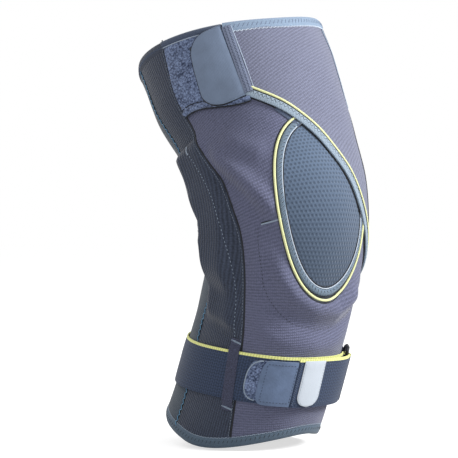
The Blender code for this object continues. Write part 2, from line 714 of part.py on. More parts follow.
for old in list(bpy.data.objects):
    bpy.data.objects.remove(old)
BRACE = new_collection("knee_brace")
CUTTERS = new_collection("cutters")
front_panel()
side_panels()
back_panel()
bindings()
kneecap()
wrap()
closure()
calf_strap()
ring_and_keeper()
belt_loops()
splints()
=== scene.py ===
"""The looks of a hinged knee brace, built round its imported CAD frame.

The origin is the centre of the knee: +X points to the inner (medial) side, +Y backwards, +Z up.
A place on the brace is (angle, along, lift): degrees round the leg from the front, negative on the outer
(lateral) side; millimetres along the leg's axis from the knee, positive up the thigh; and millimetres
out from the skin. Cloth that crosses the knee is made in an upper and a lower half, which meet at along = 0.
"""
import math

import bmesh
import bpy
import numpy as np
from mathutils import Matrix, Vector


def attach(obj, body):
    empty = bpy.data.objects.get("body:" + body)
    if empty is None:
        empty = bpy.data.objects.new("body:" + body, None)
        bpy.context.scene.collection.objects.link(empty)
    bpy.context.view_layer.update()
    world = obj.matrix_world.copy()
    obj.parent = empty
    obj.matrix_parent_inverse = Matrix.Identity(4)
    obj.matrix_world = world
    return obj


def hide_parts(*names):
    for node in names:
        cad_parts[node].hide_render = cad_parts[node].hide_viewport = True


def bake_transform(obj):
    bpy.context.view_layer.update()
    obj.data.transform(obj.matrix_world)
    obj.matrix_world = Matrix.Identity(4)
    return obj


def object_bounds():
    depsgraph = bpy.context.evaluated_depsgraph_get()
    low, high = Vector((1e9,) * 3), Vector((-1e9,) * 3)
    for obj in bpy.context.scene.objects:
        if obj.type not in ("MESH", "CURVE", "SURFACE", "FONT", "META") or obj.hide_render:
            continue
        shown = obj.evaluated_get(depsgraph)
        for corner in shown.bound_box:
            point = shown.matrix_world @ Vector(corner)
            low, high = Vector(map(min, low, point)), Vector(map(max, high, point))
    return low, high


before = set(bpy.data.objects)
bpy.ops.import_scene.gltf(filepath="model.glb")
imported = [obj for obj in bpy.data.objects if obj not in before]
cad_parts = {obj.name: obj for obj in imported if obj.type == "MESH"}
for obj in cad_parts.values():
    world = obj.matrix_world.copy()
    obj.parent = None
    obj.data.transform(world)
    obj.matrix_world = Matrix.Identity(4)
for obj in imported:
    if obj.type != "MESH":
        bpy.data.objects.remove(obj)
CAD_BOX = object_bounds()
MM = 0.001

# The leg's form, as in the CAD.
THIGH_TILT, CALF_TILT, BEND_REACH = 28.4, -20.3, 55.0
STATIONS = [-180, -120, -70, -20, 30, 80, 120, 175]
HALF_WIDTH = [56.5, 51.5, 51.5, 55.5, 61.5, 62.5, 69.0, 69.5]
FRONT_DEPTH = [49.0, 58.5, 56.5, 51.5, 55.5, 66.0, 69.0, 70.0]
BACK_DEPTH = [64.5, 62.5, 58.0, 57.5, 57.5, 62.5, 70.5, 73.0]
SKIN_INSET = 1.5
KNEECAP = {"angle": -6.0, "along": 8.0, "height": 7.0, "spread_deg": 30.0, "spread_mm": 32.0}

# Lifts of the layers: the sleeve, what lies on it, and what closes over that.
BASE_LOW, BASE_HIGH = 0.3, 1.7
OVER_LOW, OVER_HIGH = 2.2, 3.5
BINDING_WIDTH, TUCK = 8.0, 1.0
# Millimetres of cloth for each radian round the leg, in the weave's own coordinates.
LEG_RADIUS = 62.0
WRAP_START, TAB_FOLD = -47.0, -48.2
UNDERLAP_END, UNDERLAP_FROM = 10.0, 72.0
OVAL_MIDDLE, OVAL_UP, OVAL_HALF_DEG, OVAL_HALF_MM = -9.0, 11.0, 41.0, 49.0
CELL = 2.6

# Hinge and splint arms under the pocket.
HINGE_Y, HINGE_LEAN, AXIS_OFFSET = 12.0, 4.05, 8.0
UPPER_ARM_TILT, LOWER_ARM_TILT = 30.0, 5.0
ARM_LEVEL, UPPER_ARM_STEP, LOWER_ARM_STEP, ARM_REACH = 63.5, 0.4, -9.0, 55.0
HINGE_CLEAR, ARM_CLEAR = 66.9, 1.5

# One tint in every colour that srgb() makes, chosen by comparing the render with the photo.
DYE = (0.82, 0.86, 0.92)

# The hinge's upward direction, leaning back by HINGE_LEAN degrees.
KNEE_UP = (0.0, math.sin(math.radians(HINGE_LEAN)), math.cos(math.radians(HINGE_LEAN)))

DIMPLE_ACROSS, DIMPLE_UP = 3.2, 2.1
SHADED_FROM, SHADED_TO = -34.0, 30.0
STRAP_HALF, STRAP_TURN_ANGLE, RING_LIFT = 19.0, 38.0, 6.0
KEEPER_ANGLE, KEEPER_LIFT, RING_BAR = 48.5, 5.4, 1.4


# ---------------------------------------------------------------- the leg's form

def smooth(t):
    """Ease from 0 to 1."""
    t = np.clip(t, 0.0, 1.0)
    return t * t * (3 - 2 * t)


def through(xs, ys, x):
    """The value at x of a smooth curve through the points that never overshoots them."""
    xs, ys = np.asarray(xs, float), np.asarray(ys, float)
    steps = np.diff(ys) / np.diff(xs)
    a, b = steps[:-1], steps[1:]
    same = a * b > 0
    middle = np.where(same, 2 * a * b / np.where(same, a + b, 1.0), 0.0)
    slopes = np.concatenate([steps[:1], middle, steps[-1:]])
    x = np.clip(x, xs[0], xs[-1])
    i = np.clip(np.searchsorted(xs, x, side="right") - 1, 0, len(xs) - 2)
    width = xs[i + 1] - xs[i]
    t = (x - xs[i]) / width
    ends = (2 * t**3 - 3 * t**2 + 1) * ys[i] + (3 * t**2 - 2 * t**3) * ys[i + 1]
    turns = (t**3 - 2 * t**2 + t) * slopes[i] + (t**3 - t**2) * slopes[i + 1]
    return ends + turns * width


def tilt(along):
    """How far the leg's axis leans back there, in radians."""
    share = smooth((along + BEND_REACH) / (2 * BEND_REACH))
    return np.radians(CALF_TILT + (THIGH_TILT - CALF_TILT) * share)


def centre_line(reach=260):
    """The leg's axis at every millimetre: along, Y and Z."""
    along = np.arange(-reach, reach + 1.0)
    lean = tilt(along[:-1] + 0.5)
    y = np.concatenate([[0], np.cumsum(np.sin(lean))])
    z = np.concatenate([[0], np.cumsum(np.cos(lean))])
    return along, y - y[reach], z - z[reach]


AXIS_ALONG, AXIS_Y, AXIS_Z = centre_line()


def radius(angle, along):
    """From the leg's axis to the base cloth's outer face."""
    turn = np.radians(angle)
    depth = np.where(np.cos(turn) > 0, through(STATIONS, FRONT_DEPTH, along),
                     through(STATIONS, BACK_DEPTH, along))
    width = through(STATIONS, HALF_WIDTH, along)
    power = 2.15 + 0.35 * np.exp(-((along / 75) ** 2))
    sides = (np.abs(np.cos(turn)) / depth) ** power + (np.abs(np.sin(turn)) / width) ** power
    off = (angle - KNEECAP["angle"] + 180) % 360 - 180
    bump = (off / KNEECAP["spread_deg"]) ** 2 + ((along - KNEECAP["along"]) / KNEECAP["spread_mm"]) ** 2
    return sides ** (-1 / power) + KNEECAP["height"] * np.exp(-bump)


def place(angle, along, lift):
    """Points at (angle, along, lift), in metres, with the last axis holding X, Y and Z."""
    angle, along, lift = np.broadcast_arrays(*[np.asarray(v, float) for v in (angle, along, lift)])
    reach = radius(angle, along) - SKIN_INSET + lift
    turn, lean = np.radians(angle), tilt(along)
    y, z = np.interp(along, AXIS_ALONG, AXIS_Y), np.interp(along, AXIS_ALONG, AXIS_Z)
    forward = reach * np.cos(turn)
    return np.stack([reach * np.sin(turn), y - np.cos(lean) * forward, z + np.sin(lean) * forward], -1) * MM


# ---------------------------------------------------------------- edges and seams

def top_edge(angle):
    return 137 + 26 * smooth(np.abs((angle + 15 + 180) % 360 - 180) / 115)


def bottom_edge(angle):
    return -142 - 29 * smooth(np.abs((angle - 4 + 180) % 360 - 180) / 100)


def panel_top(angle):
    """Where the panels end under the top binding."""
    return top_edge(angle) - BINDING_WIDTH + TUCK


def panel_bottom(angle):
    """Where the panels end under the bottom binding."""
    return bottom_edge(angle) + BINDING_WIDTH - TUCK


def front_seam(along):
    """Angle of the seam between front and side panels, on the medial side."""
    return -through([-155, -75, -30, 20, 95, 155], [-54, -65, -75, -84, -95, -88], along)


def rear_seam(along):
    """Angle of the seam between side and back panels, on the medial side."""
    return -through([-150, -87, -35, 0, 50, 155], [-110, -115, -109, -114, -120, -124], along)


def pocket_line(along):
    """Angle of the stitch line along the front of the splint pocket, on the medial side."""
    return -through([-78, -44, -8, 26, 70], [-72, -79, -88, -94, -103], along)


def wrap_edge(angle):
    """The wrap's lower edge, from the tab down to the medial seam."""
    return through([-47, -16, 17, 50, 88], [81, 48, 12, -22, -58], angle)


def strap_middle(angle):
    return -97 - 28 * np.sin(np.radians(angle) / 2) ** 2


def oval_reach(turn, grow):
    """Distance of the kneecap oval's edge from (OVAL_MIDDLE, 0), in units of degrees and millimetres."""
    scale = 1 + grow / OVAL_HALF_MM
    a, b = OVAL_HALF_DEG * scale, OVAL_HALF_MM * scale
    p = (np.cos(turn) / a) ** 2 + (np.sin(turn) / b) ** 2
    q = np.sin(turn) * OVAL_UP / b**2
    return (q + np.sqrt(q**2 - p * ((OVAL_UP / b) ** 2 - 1))) / p


def on_oval(turn, grow):
    reach = oval_reach(turn, grow)
    return OVAL_MIDDLE + reach * np.cos(turn), reach * np.sin(turn)


# ---------------------------------------------------------------- swells and folds of the cloth

def arm_track(along):
    """Where the splint runs at that height: its distance from the pivot and its angle (medial side)."""
    lean = tilt(along)
    y, z = np.interp(along, AXIS_ALONG, AXIS_Y), np.interp(along, AXIS_ALONG, AXIS_Z)
    up = np.where(along > 0, 1.0, -1.0)
    py = HINGE_Y + up * AXIS_OFFSET * KNEE_UP[1]
    pz = up * AXIS_OFFSET * KNEE_UP[2]
    way = np.where(up > 0, math.radians(UPPER_ARM_TILT), math.radians(180 - LOWER_ARM_TILT))
    dy, dz = np.sin(way), np.cos(way)
    distance = ((y - py) * np.sin(lean) + (z - pz) * np.cos(lean)) / (dy * np.sin(lean) + dz * np.cos(lean))
    blade = np.maximum(distance, 0.0)
    forward = -(py + blade * dy - y) * np.cos(lean) + (pz + blade * dz - z) * np.sin(lean)
    return distance, np.degrees(np.arctan2(ARM_LEVEL, forward))


def splint_swell(angle, along):
    """How far the hinge and arms push the pocket's cloth out, on either side."""
    side = np.abs((angle + 180) % 360 - 180)
    distance, middle = arm_track(along)
    step = np.where(along > 0, UPPER_ARM_STEP, LOWER_ARM_STEP)
    over_arm = ARM_LEVEL + step * smooth((distance - 12) / 30) + ARM_CLEAR
    level = HINGE_CLEAR + (over_arm - HINGE_CLEAR) * smooth((distance - 8) / 32)
    sine = np.maximum(np.abs(np.sin(np.radians(side))), 0.7)
    need = np.maximum(level / sine - (radius(angle, along) - SKIN_INSET) - BASE_LOW, 0.0)
    off = np.abs(side - middle) * math.radians(1) * radius(angle, along)
    flat = 8.8
    fall = np.where(side > middle, 9.0, 12.5)
    to_seam = (rear_seam(along) - side) * math.radians(1) * radius(angle, along)
    share = (1 - smooth((off - flat) / fall)) * smooth(to_seam / 1.5)
    return need * share * (1 - smooth((distance - ARM_REACH) / 12))


def from_path(angle, along, path):
    """Distance in about millimetres from a line of (angle, along) points, and how far along the line."""
    best = np.full(np.shape(angle), 1e9)
    share = np.zeros(np.shape(angle))
    count = len(path) - 1
    for i, (start, end) in enumerate(zip(path, path[1:])):
        dx, dy = end[0] - start[0], end[1] - start[1]
        t = np.clip(((angle - start[0]) * dx + (along - start[1]) * dy) / (dx * dx + dy * dy), 0, 1)
        away = np.hypot(angle - start[0] - t * dx, along - start[1] - t * dy)
        near = away < best
        best = np.where(near, away, best)
        share = np.where(near, (i + t) / count, share)
    return best, share


# Soft folds of the front panel: the line each follows, its height and its half width.
FOLDS = (
    ([(-88, 66), (-80, 46), (-66, 24), (-58, 13), (-48, 3)], 5.0, 6.0),
    ([(-92, 47), (-80, 28), (-71, 15), (-64, 6), (-56, -5)], -2.0, 5.0),
    ([(-56, -16), (-45, -27), (-33, -36), (-14, -42), (8, -43), (26, -36), (36, -30)], 5.4, 6.2),
    ([(-58, -38), (-46, -47), (-32, -52), (-10, -57), (10, -57), (28, -51), (40, -44)], -2.0, 5.0),
    ([(-66, -8), (-64, -26), (-58, -40)], 1.3, 5.0),
    ([(-76, 66), (-62, 48), (-48, 38)], 2.2, 7.0),
    ([(-62, -60), (-40, -68), (-5, -70), (30, -66)], 1.6, 6.0),
)


def fold_lift(angle, along):
    total = np.zeros(np.shape(angle + along))
    for path, height, width in FOLDS:
        away, share = from_path(angle, along, path)
        taper = smooth(share / 0.2) * smooth((1 - share) / 0.2)
        total = total + height * np.exp(-((away / width) ** 2)) * (0.25 + 0.75 * taper)
    return total


def ripple(angle, along, size=0.18):
    """Small uneven swells of stretched cloth."""
    a, s = np.radians(angle) * 60, np.asarray(along, float)
    waves = (np.sin(a / 9.1 + s / 13.7 + 0.6) + np.sin(a / 5.3 - s / 8.9 + 2.1) * 0.6
             + np.sin(a / 14.3 - s / 5.1 + 4.0) * 0.5)
    return size * waves


def ground(angle, along):
    """How far the sleeve's outer face stands off its plain form."""
    return splint_swell(angle, along) + fold_lift(angle, along) + ripple(angle, along)


def over_ground(lift, share=1.0):
    """A lift that follows the sleeve's outer face, or that share of its swells and folds."""
    return lambda angle, along: lift + ground(angle, along) * share


# ---------------------------------------------------------------- node materials

def srgb(red, green, blue):
    """A colour from 0 to 255 as linear values, times the tint."""
    values = [v / 255 for v in (red, green, blue)]
    linear = [v / 12.92 if v <= 0.04045 else ((v + 0.055) / 1.055) ** 2.4 for v in values]
    return tuple(v * dye for v, dye in zip(linear, DYE)) + (1.0,)


class Graph:
    """A material's nodes, with short ways to add and join them."""

    def __init__(self, name, rough, metal=0.0, sheen=0.0, specular=0.35, coat=0.0):
        self.material = bpy.data.materials.new(name)
        self.material.use_nodes = True
        self.tree = self.material.node_tree
        self.shader = self.tree.nodes["Principled BSDF"]
        sockets = {"Roughness": rough, "Metallic": metal, "Sheen Weight": sheen,
                   "Specular IOR Level": specular, "Coat Weight": coat}
        for socket, value in sockets.items():
            self.shader.inputs[socket].default_value = value
        if sheen:
            self.shader.inputs["Sheen Roughness"].default_value = 0.45

    def node(self, kind, inputs=(), **settings):
        made = self.tree.nodes.new(kind)
        for key, value in settings.items():
            setattr(made, key, value)
        for key, value in dict(inputs).items():
            self.put(value, made.inputs[key])
        return made

    def put(self, value, socket):
        if hasattr(value, "is_output"):
            self.tree.links.new(value, socket)
        else:
            socket.default_value = value

    def math(self, operation, a, b=0.0, c=0.0):
        return self.node("ShaderNodeMath", {0: a, 1: b, 2: c}, operation=operation).outputs[0]

    def weave(self):
        """The cloth's own coordinates in millimetres: across, along, and both as a vector."""
        uv = self.node("ShaderNodeUVMap", uv_map="weave").outputs[0]
        split = self.node("ShaderNodeSeparateXYZ", {0: uv})
        return split.outputs[0], split.outputs[1], uv

    def noise(self, vector, scale, detail=2.0, rough=0.55):
        made = self.node("ShaderNodeTexNoise", {"Vector": vector, "Scale": scale, "Detail": detail,
                                                "Roughness": rough})
        return made.outputs[0]

    def ribs(self, position, pitch):
        """0 in the grooves and 1 on the ribs."""
        wave = self.math("SINE", self.math("MULTIPLY", position, 2 * math.pi / pitch))
        return self.math("MULTIPLY_ADD", wave, 0.5, 0.5)

    def mix(self, share, a, b):
        made = self.node("ShaderNodeMix", data_type="RGBA")
        self.put(share, made.inputs[0])
        self.put(a, made.inputs[6])
        self.put(b, made.inputs[7])
        return made.outputs[2]

    def spread(self, value, low, high):
        """value moved from low..high to 0..1, with its ends held."""
        return self.node("ShaderNodeMapRange", {0: value, 1: low, 2: high}).outputs[0]

    def colour(self, value):
        self.put(value, self.shader.inputs["Base Color"])

    def bump(self, height, depth, strength=1.0):
        """Depth is in millimetres."""
        made = self.node("ShaderNodeBump", {"Height": height, "Distance": depth * MM, "Strength": strength})
        self.put(made.outputs[0], self.shader.inputs["Normal"])


def shade(colour, factor):
    return tuple(v * factor for v in colour[:3]) + (1.0,)


def knit(name, colour, pitch=1.9, turn=0.0, fleck=0.3, cross=0.5, depth=0.22, sheen=0.25, rough=0.85,
         contrast=0.3):
    """Ribbed stretch cloth: ribs turned by that many degrees, cross threads, flecks and slow wear."""
    graph = Graph(name, rough, sheen=sheen, specular=0.25)
    across, along, uv = graph.weave()
    c, s = math.cos(math.radians(turn)), math.sin(math.radians(turn))
    over = graph.math("ADD", graph.math("MULTIPLY", across, -s), graph.math("MULTIPLY", along, c))
    beside = graph.math("ADD", graph.math("MULTIPLY", across, c), graph.math("MULTIPLY", along, s))
    stir = graph.noise(uv, 0.35, 2.0)
    over = graph.math("MULTIPLY_ADD", stir, pitch * 0.7, over)
    rib = graph.ribs(over, pitch)
    thread = graph.ribs(beside, pitch * 0.8)
    cell = graph.math("MULTIPLY", rib, graph.math("MULTIPLY_ADD", thread, cross, 1 - cross))
    fine = graph.noise(uv, 0.6, 4.0, 0.8)
    worn = graph.noise(uv, 0.045, 3.0)
    flecks = graph.spread(fine, 0.4, 0.66)
    ribbed = graph.mix(cell, shade(colour, 1 - contrast), shade(colour, 1 + contrast * 0.55))
    flecked = graph.mix(graph.math("MULTIPLY", flecks, fleck), ribbed, shade(colour, 2.1))
    faded = graph.mix(graph.spread(worn, 0.35, 0.75), flecked, shade(colour, 1.18))
    graph.colour(graph.mix(0.55, faded, flecked))
    graph.bump(graph.math("ADD", cell, graph.math("MULTIPLY", fine, 0.6)), depth)
    return graph.material


def tape(name, colour, pitch=1.5, rough=0.8, contrast=0.3, sheen=0.15, depth=0.18):
    """Woven tape: short threads across its length in a diagonal."""
    graph = Graph(name, rough, sheen=sheen, specular=0.3)
    across, along, uv = graph.weave()
    slant = graph.math("ADD", across, graph.math("MULTIPLY", along, 0.8))
    rib, cross = graph.ribs(slant, pitch), graph.ribs(graph.math("SUBTRACT", across, along), pitch * 0.7)
    cell = graph.math("MULTIPLY_ADD", cross, 0.4, graph.math("MULTIPLY", rib, 0.6))
    fine = graph.noise(uv, 0.9, 3.0, 0.65)
    worn = graph.mix(graph.spread(fine, 0.35, 0.72), shade(colour, 1 - contrast),
                     shade(colour, 1 + contrast))
    graph.colour(graph.mix(cell, shade(colour, 0.8), worn))
    graph.bump(cell, depth)
    return graph.material


def pile(name, low, high, depth=0.5):
    """Brushed loop pile: mottled tufts over a darker ground."""
    graph = Graph(name, 0.95, sheen=0.45, specular=0.15)
    _, _, uv = graph.weave()
    tuft = graph.node("ShaderNodeTexVoronoi", {"Vector": uv, "Scale": 0.62}, feature="F1").outputs[0]
    fine = graph.noise(uv, 0.75, 4.0, 0.75)
    patch = graph.noise(uv, 0.1, 2.0)
    height = graph.math("SUBTRACT", fine, graph.math("MULTIPLY", tuft, 0.35))
    broad = graph.math("MULTIPLY_ADD", patch, 0.35, height)
    graph.colour(graph.mix(graph.spread(broad, 0.3, 0.72), low, high))
    graph.bump(height, depth)
    return graph.material


def plain_cloth(name, colour, rough=0.7, grain=0.12, sheen=0.2, specular=0.35, depth=0.08):
    """Close smooth cloth with a faint grain."""
    graph = Graph(name, rough, sheen=sheen, specular=specular)
    across, along, uv = graph.weave()
    grid = graph.math("MULTIPLY", graph.ribs(across, 0.9), graph.ribs(along, 0.9))
    cloud = graph.noise(uv, 0.09, 3.0)
    fine = graph.noise(uv, 0.8, 3.0)
    base = graph.mix(graph.spread(cloud, 0.3, 0.7), shade(colour, 1 - grain), shade(colour, 1 + grain))
    graph.colour(graph.mix(graph.math("MULTIPLY", fine, 0.5), base, shade(colour, 1.15)))
    graph.bump(graph.math("ADD", grid, fine), depth)
    return graph.material


def webbing_cloth(name, colour, edge):
    """Strap webbing with ribs across it and a coloured upper selvedge, beyond 17 mm from its middle."""
    graph = Graph(name, 0.75, sheen=0.15, specular=0.3)
    across, along, uv = graph.weave()
    ribs = graph.ribs(across, 2.2)
    rows = graph.ribs(graph.math("ADD", along, graph.math("MULTIPLY", graph.ribs(across, 4.4), 0.9)), 2.4)
    cell = graph.math("MULTIPLY_ADD", rows, 0.5, graph.math("MULTIPLY", ribs, 0.5))
    fine = graph.noise(uv, 0.9, 3.0, 0.7)
    body = graph.mix(cell, shade(colour, 0.5), shade(colour, 1.5))
    body = graph.mix(graph.math("MULTIPLY", graph.spread(fine, 0.45, 0.75), 0.4), body, shade(colour, 2.2))
    selvedge = graph.math("GREATER_THAN", along, 17.0)
    bright = graph.mix(ribs, shade(edge, 0.75), edge)
    graph.colour(graph.mix(selvedge, body, bright))
    graph.bump(cell, 0.2)
    return graph.material


def hooks_cloth(name, colour):
    graph = Graph(name, 0.6, specular=0.4)
    across, along, _ = graph.weave()
    dots = graph.math("MULTIPLY", graph.ribs(across, 1.1), graph.ribs(along, 1.1))
    graph.colour(graph.mix(dots, shade(colour, 0.6), shade(colour, 1.7)))
    graph.bump(dots, 0.35)
    return graph.material


def dimpled(name, colour):
    """The kneecap patch: fine knit round oval dimples with painted shade in them, paler on the high ground.
    """
    graph = Graph(name, 0.8, sheen=0.3, specular=0.25)
    across, along, uv = graph.weave()
    fine = graph.noise(uv, 1.0, 3.0, 0.7)
    up = graph.math("DIVIDE", along, DIMPLE_UP)
    row = graph.math("FLOOR", up)
    shift = graph.math("MULTIPLY", graph.math("FLOORED_MODULO", row, 2.0), 0.5)
    over = graph.math("ADD", graph.math("DIVIDE", across, DIMPLE_ACROSS), shift)
    x = graph.math("MULTIPLY", graph.math("SUBTRACT", graph.math("FRACT", over), 0.5), 2.7)
    y = graph.math("MULTIPLY", graph.math("SUBTRACT", graph.math("FRACT", up), 0.5), 3.0)
    away = graph.math("ADD", graph.math("MULTIPLY", x, x), graph.math("MULTIPLY", y, y))
    high = graph.spread(away, 0.3, 1.3)
    cloud = graph.noise(uv, 0.06, 2.0)
    base = graph.mix(graph.spread(fine, 0.35, 0.72), shade(colour, 0.85), shade(colour, 1.25))
    base = graph.mix(graph.math("MULTIPLY", cloud, 0.35), base, shade(colour, 1.25))
    # Painted shading: the patch gets darker toward its lower end, as it looks in the photo.
    base = graph.mix(graph.spread(along, SHADED_FROM, SHADED_TO), shade(colour, 0.2), base)
    # Painted shade: each dimple is darkened toward its middle, as shade in its hollow.
    graph.colour(graph.mix(graph.math("MULTIPLY", high, 0.5), shade(colour, 0.5), base))
    graph.bump(graph.math("ADD", high, graph.math("MULTIPLY", fine, 0.5)), 0.25)
    return graph.material


def thread(name, colour, rough=0.6):
    graph = Graph(name, rough, sheen=0.1, specular=0.4)
    position = graph.node("ShaderNodeTexCoord").outputs["Object"]
    twist = graph.noise(position, 900.0, 2.0)
    graph.colour(graph.mix(twist, shade(colour, 0.75), shade(colour, 1.1)))
    graph.bump(twist, 0.1)
    return graph.material


def hard(name, colour, rough, metal=0.0, brushed=60.0):
    """Metal or plastic with fine brushing or moulding marks and uneven gloss."""
    graph = Graph(name, rough, metal=metal, specular=0.5)
    position = graph.node("ShaderNodeTexCoord").outputs["Object"]
    stretched = graph.node("ShaderNodeMapping", {0: position, 3: (1.0, 12.0, 1.0)}).outputs[0]
    marks = graph.noise(stretched, brushed, 3.0)
    worn = graph.noise(position, 120.0, 3.0)
    graph.colour(graph.mix(marks, shade(colour, 0.82), shade(colour, 1.1)))
    graph.put(graph.math("MULTIPLY_ADD", worn, 0.25, rough - 0.12), graph.shader.inputs["Roughness"])
    graph.bump(marks, 0.03)
    return graph.material


def rubber(name, colour):
    graph = Graph(name, 0.5, specular=0.45)
    position = graph.node("ShaderNodeTexCoord").outputs["Object"]
    fine = graph.noise(position, 700.0, 3.0)
    graph.colour(graph.mix(fine, shade(colour, 0.85), shade(colour, 1.12)))
    graph.bump(fine, 0.08)
    return graph.material


LOOK = {
    "mauve": knit("mauve_front_knit", srgb(98, 99, 120), 2.0, 12.0, fleck=0.36, contrast=0.4, depth=0.32),
    "wrap": knit("mauve_wrap_knit", srgb(113, 114, 131), 2.2, 28.0, fleck=0.26, contrast=0.3, cross=0.4,
                 depth=0.3),
    "charcoal": knit("charcoal_rib_knit", srgb(60, 66, 80), 2.3, 90.0, fleck=0.4, contrast=0.6, cross=0.4,
                     depth=0.35),
    "teal": knit("teal_back_knit", srgb(58, 70, 82), 1.9, 90.0, fleck=0.16, contrast=0.3, cross=0.7),
    "top_tape": tape("top_binding_tape", srgb(146, 163, 182)),
    "bottom_tape": tape("bottom_binding_tape", srgb(96, 112, 126), contrast=0.3),
    "lateral_top_tape": tape("top_hem_tape", srgb(70, 76, 90), contrast=0.3),
    "patch_tape": tape("loop_patch_tape", srgb(84, 94, 114), contrast=0.35),
    "strap_tab": plain_cloth("strap_tab_cloth", srgb(101, 117, 143), 0.65, grain=0.2, depth=0.14),
    "edge_tape": tape("wrap_edge_tape", srgb(160, 174, 185), contrast=0.2),
    "oval_tape": tape("oval_binding_tape", srgb(122, 138, 152), contrast=0.25),
    "dark_tape": tape("speckled_loop_tape", srgb(74, 76, 96), contrast=0.75, pitch=2.6),
    "tab": plain_cloth("slate_tab_cloth", srgb(115, 128, 148), 0.6),
    "strip": plain_cloth("seam_strip_cloth", srgb(116, 123, 142), 0.7),
    "loop": pile("slate_loop_pile", srgb(40, 50, 76), srgb(150, 165, 198)),
    "hooks": hooks_cloth("hook_cloth", srgb(60, 68, 82)),
    "kneecap": dimpled("kneecap_dimple_knit", srgb(104, 121, 143)),
    "yellow": tape("yellow_piping_cloth", srgb(250, 248, 182), contrast=0.08, sheen=0.2),
    "strap": webbing_cloth("navy_strap_webbing", srgb(48, 60, 82), srgb(255, 252, 158)),
    "tag": plain_cloth("blank_tag_cloth", srgb(204, 208, 212), 0.6, grain=0.03),
    "silicone": rubber("pad_silicone", srgb(120, 128, 138)),
    "ring": hard("ring_plastic", srgb(38, 39, 44), 0.4),
    "metal": hard("brushed_splint_metal", srgb(190, 192, 196), 0.35, metal=1.0),
    "light_thread": thread("pale_thread", srgb(186, 196, 208)),
    "white_thread": thread("white_thread", srgb(222, 228, 235)),
    # This dark thread colours real stitches, and also the dark tubes along seams, piping and edges that are
    # painted shadow lines.
    "dark_thread_and_shadow": thread("dark_thread_and_shadow", srgb(22, 25, 32)),
    "blue_thread": thread("blue_thread", srgb(92, 146, 180)),
    "navy_thread": thread("navy_thread", srgb(48, 60, 84)),
    "grey_line": thread("tab_rim_thread", srgb(158, 170, 184)),
    "seam_thread": thread("seam_thread", srgb(138, 146, 158)),
    "slate_thread": thread("slate_thread", srgb(78, 92, 116)),
}


# ---------------------------------------------------------------- mesh helpers

def add_mesh(name, points, faces, look, weave=None, weld=False):
    """A smooth-shaded object; weave holds each point's place in the cloth, in millimetres."""
    data = bpy.data.meshes.new(name)
    data.from_pydata(points.tolist(), [], [tuple(int(i) for i in face) for face in faces])
    if weave is not None:
        corner = np.empty(len(data.loops), dtype=np.int32)
        data.loops.foreach_get("vertex_index", corner)
        layer = data.uv_layers.new(name="weave")
        layer.uv.foreach_set("vector", weave[corner].astype(np.float32).ravel())
    if weld:
        mesh = bmesh.new()
        mesh.from_mesh(data)
        bmesh.ops.remove_doubles(mesh, verts=mesh.verts, dist=0.00002)
        mesh.to_mesh(data)
        mesh.free()
    data.shade_smooth()
    data.set_sharp_from_angle(angle=math.radians(52))
    data.materials.append(LOOK[look])
    made = bpy.data.objects.new(name, data)
    bpy.context.scene.collection.objects.link(made)
    return made


def grid_faces(rows, columns):
    """Faces of a closed cloth whose outer points come first and then its inner points."""
    outer = np.arange(rows * columns).reshape(rows, columns)
    inner = outer + rows * columns

    def quads(a, b, c, d):
        return np.stack([a.ravel(), b.ravel(), c.ravel(), d.ravel()], -1)

    faces = [quads(outer[:-1, :-1], outer[:-1, 1:], outer[1:, 1:], outer[1:, :-1]),
             quads(inner[:-1, :-1], inner[1:, :-1], inner[1:, 1:], inner[:-1, 1:]),
             quads(outer[0, 1:], outer[0, :-1], inner[0, :-1], inner[0, 1:]),
             quads(outer[-1, :-1], outer[-1, 1:], inner[-1, 1:], inner[-1, :-1]),
             quads(outer[1:, -1], outer[:-1, -1], inner[:-1, -1], inner[1:, -1]),
             quads(outer[:-1, 0], outer[1:, 0], inner[1:, 0], inner[:-1, 0])]
    return np.concatenate(faces)


def cloth(name, angle, along, low, high, look, soft="bltr", weld=False):
    """A closed piece of cloth over a grid of places.

    soft names the borders that are rounded: bottom, left, top and right.
    """
    angle, along, low, high = [np.array(v, float) for v in np.broadcast_arrays(angle, along, low, high)]
    borders = {"b": (0, slice(None)), "t": (-1, slice(None)), "l": (slice(None), 0), "r": (slice(None), -1)}
    edge = low + (high - low) * 0.6
    for word in soft:
        high[borders[word]] = edge[borders[word]]
    outer, inner = place(angle, along, high), place(angle, along, low)
    rows, columns = angle.shape
    faces = grid_faces(rows, columns)
    middle = (rows // 2, columns // 2)
    across = outer[middle[0], middle[1]] - outer[middle[0], middle[1] - 1]
    up = outer[middle[0], middle[1]] - outer[middle[0] - 1, middle[1]]
    if np.dot(np.cross(across, up), outer[middle] - inner[middle]) < 0:
        faces = faces[:, ::-1]
    points = np.concatenate([outer.reshape(-1, 3), inner.reshape(-1, 3)])
    weave = np.stack([np.radians(angle) * LEG_RADIUS, along], -1)
    flat = np.concatenate([weave.reshape(-1, 2)] * 2)
    return add_mesh(name, points, faces, look, flat, weld)


def shares(length, step=CELL, tight=0.6):
    """Fractions from 0 to 1 about step apart, with a close first and last."""
    count = max(int(round(length / step)), 2)
    inside = np.linspace(0, 1, count + 1)
    close = min(tight / max(length, 1.0), 0.2 / count)
    return np.unique(np.concatenate([inside, [close, 1 - close]]))


def at(value):
    return lambda x: np.asarray(x, float) * 0 + value


def seam(curve, sign, inset=0.0):
    """A seam's angle on one side; inset is in degrees, towards the front."""
    return lambda along: sign * (curve(along) - inset)


def span(left, right, bottom, top, step=CELL):
    """A grid of places between two seams (angle from along) and two edges (along from angle)."""
    middle = float((bottom(np.array(0.0)) + top(np.array(0.0))) / 2)
    wide = abs(float(right(np.array(middle)) - left(np.array(middle)))) * 1.08
    tall = float(np.max(np.abs(top(np.linspace(-60, 60, 5)) - bottom(np.linspace(-60, 60, 5)))))
    u, v = np.meshgrid(shares(wide, step), shares(tall, step))
    angle = left(0.0) * (1 - u) + right(0.0) * u
    for _ in range(6):
        along = bottom(angle) * (1 - v) + top(angle) * v
        angle = left(along) * (1 - u) + right(along) * u
    return angle, along


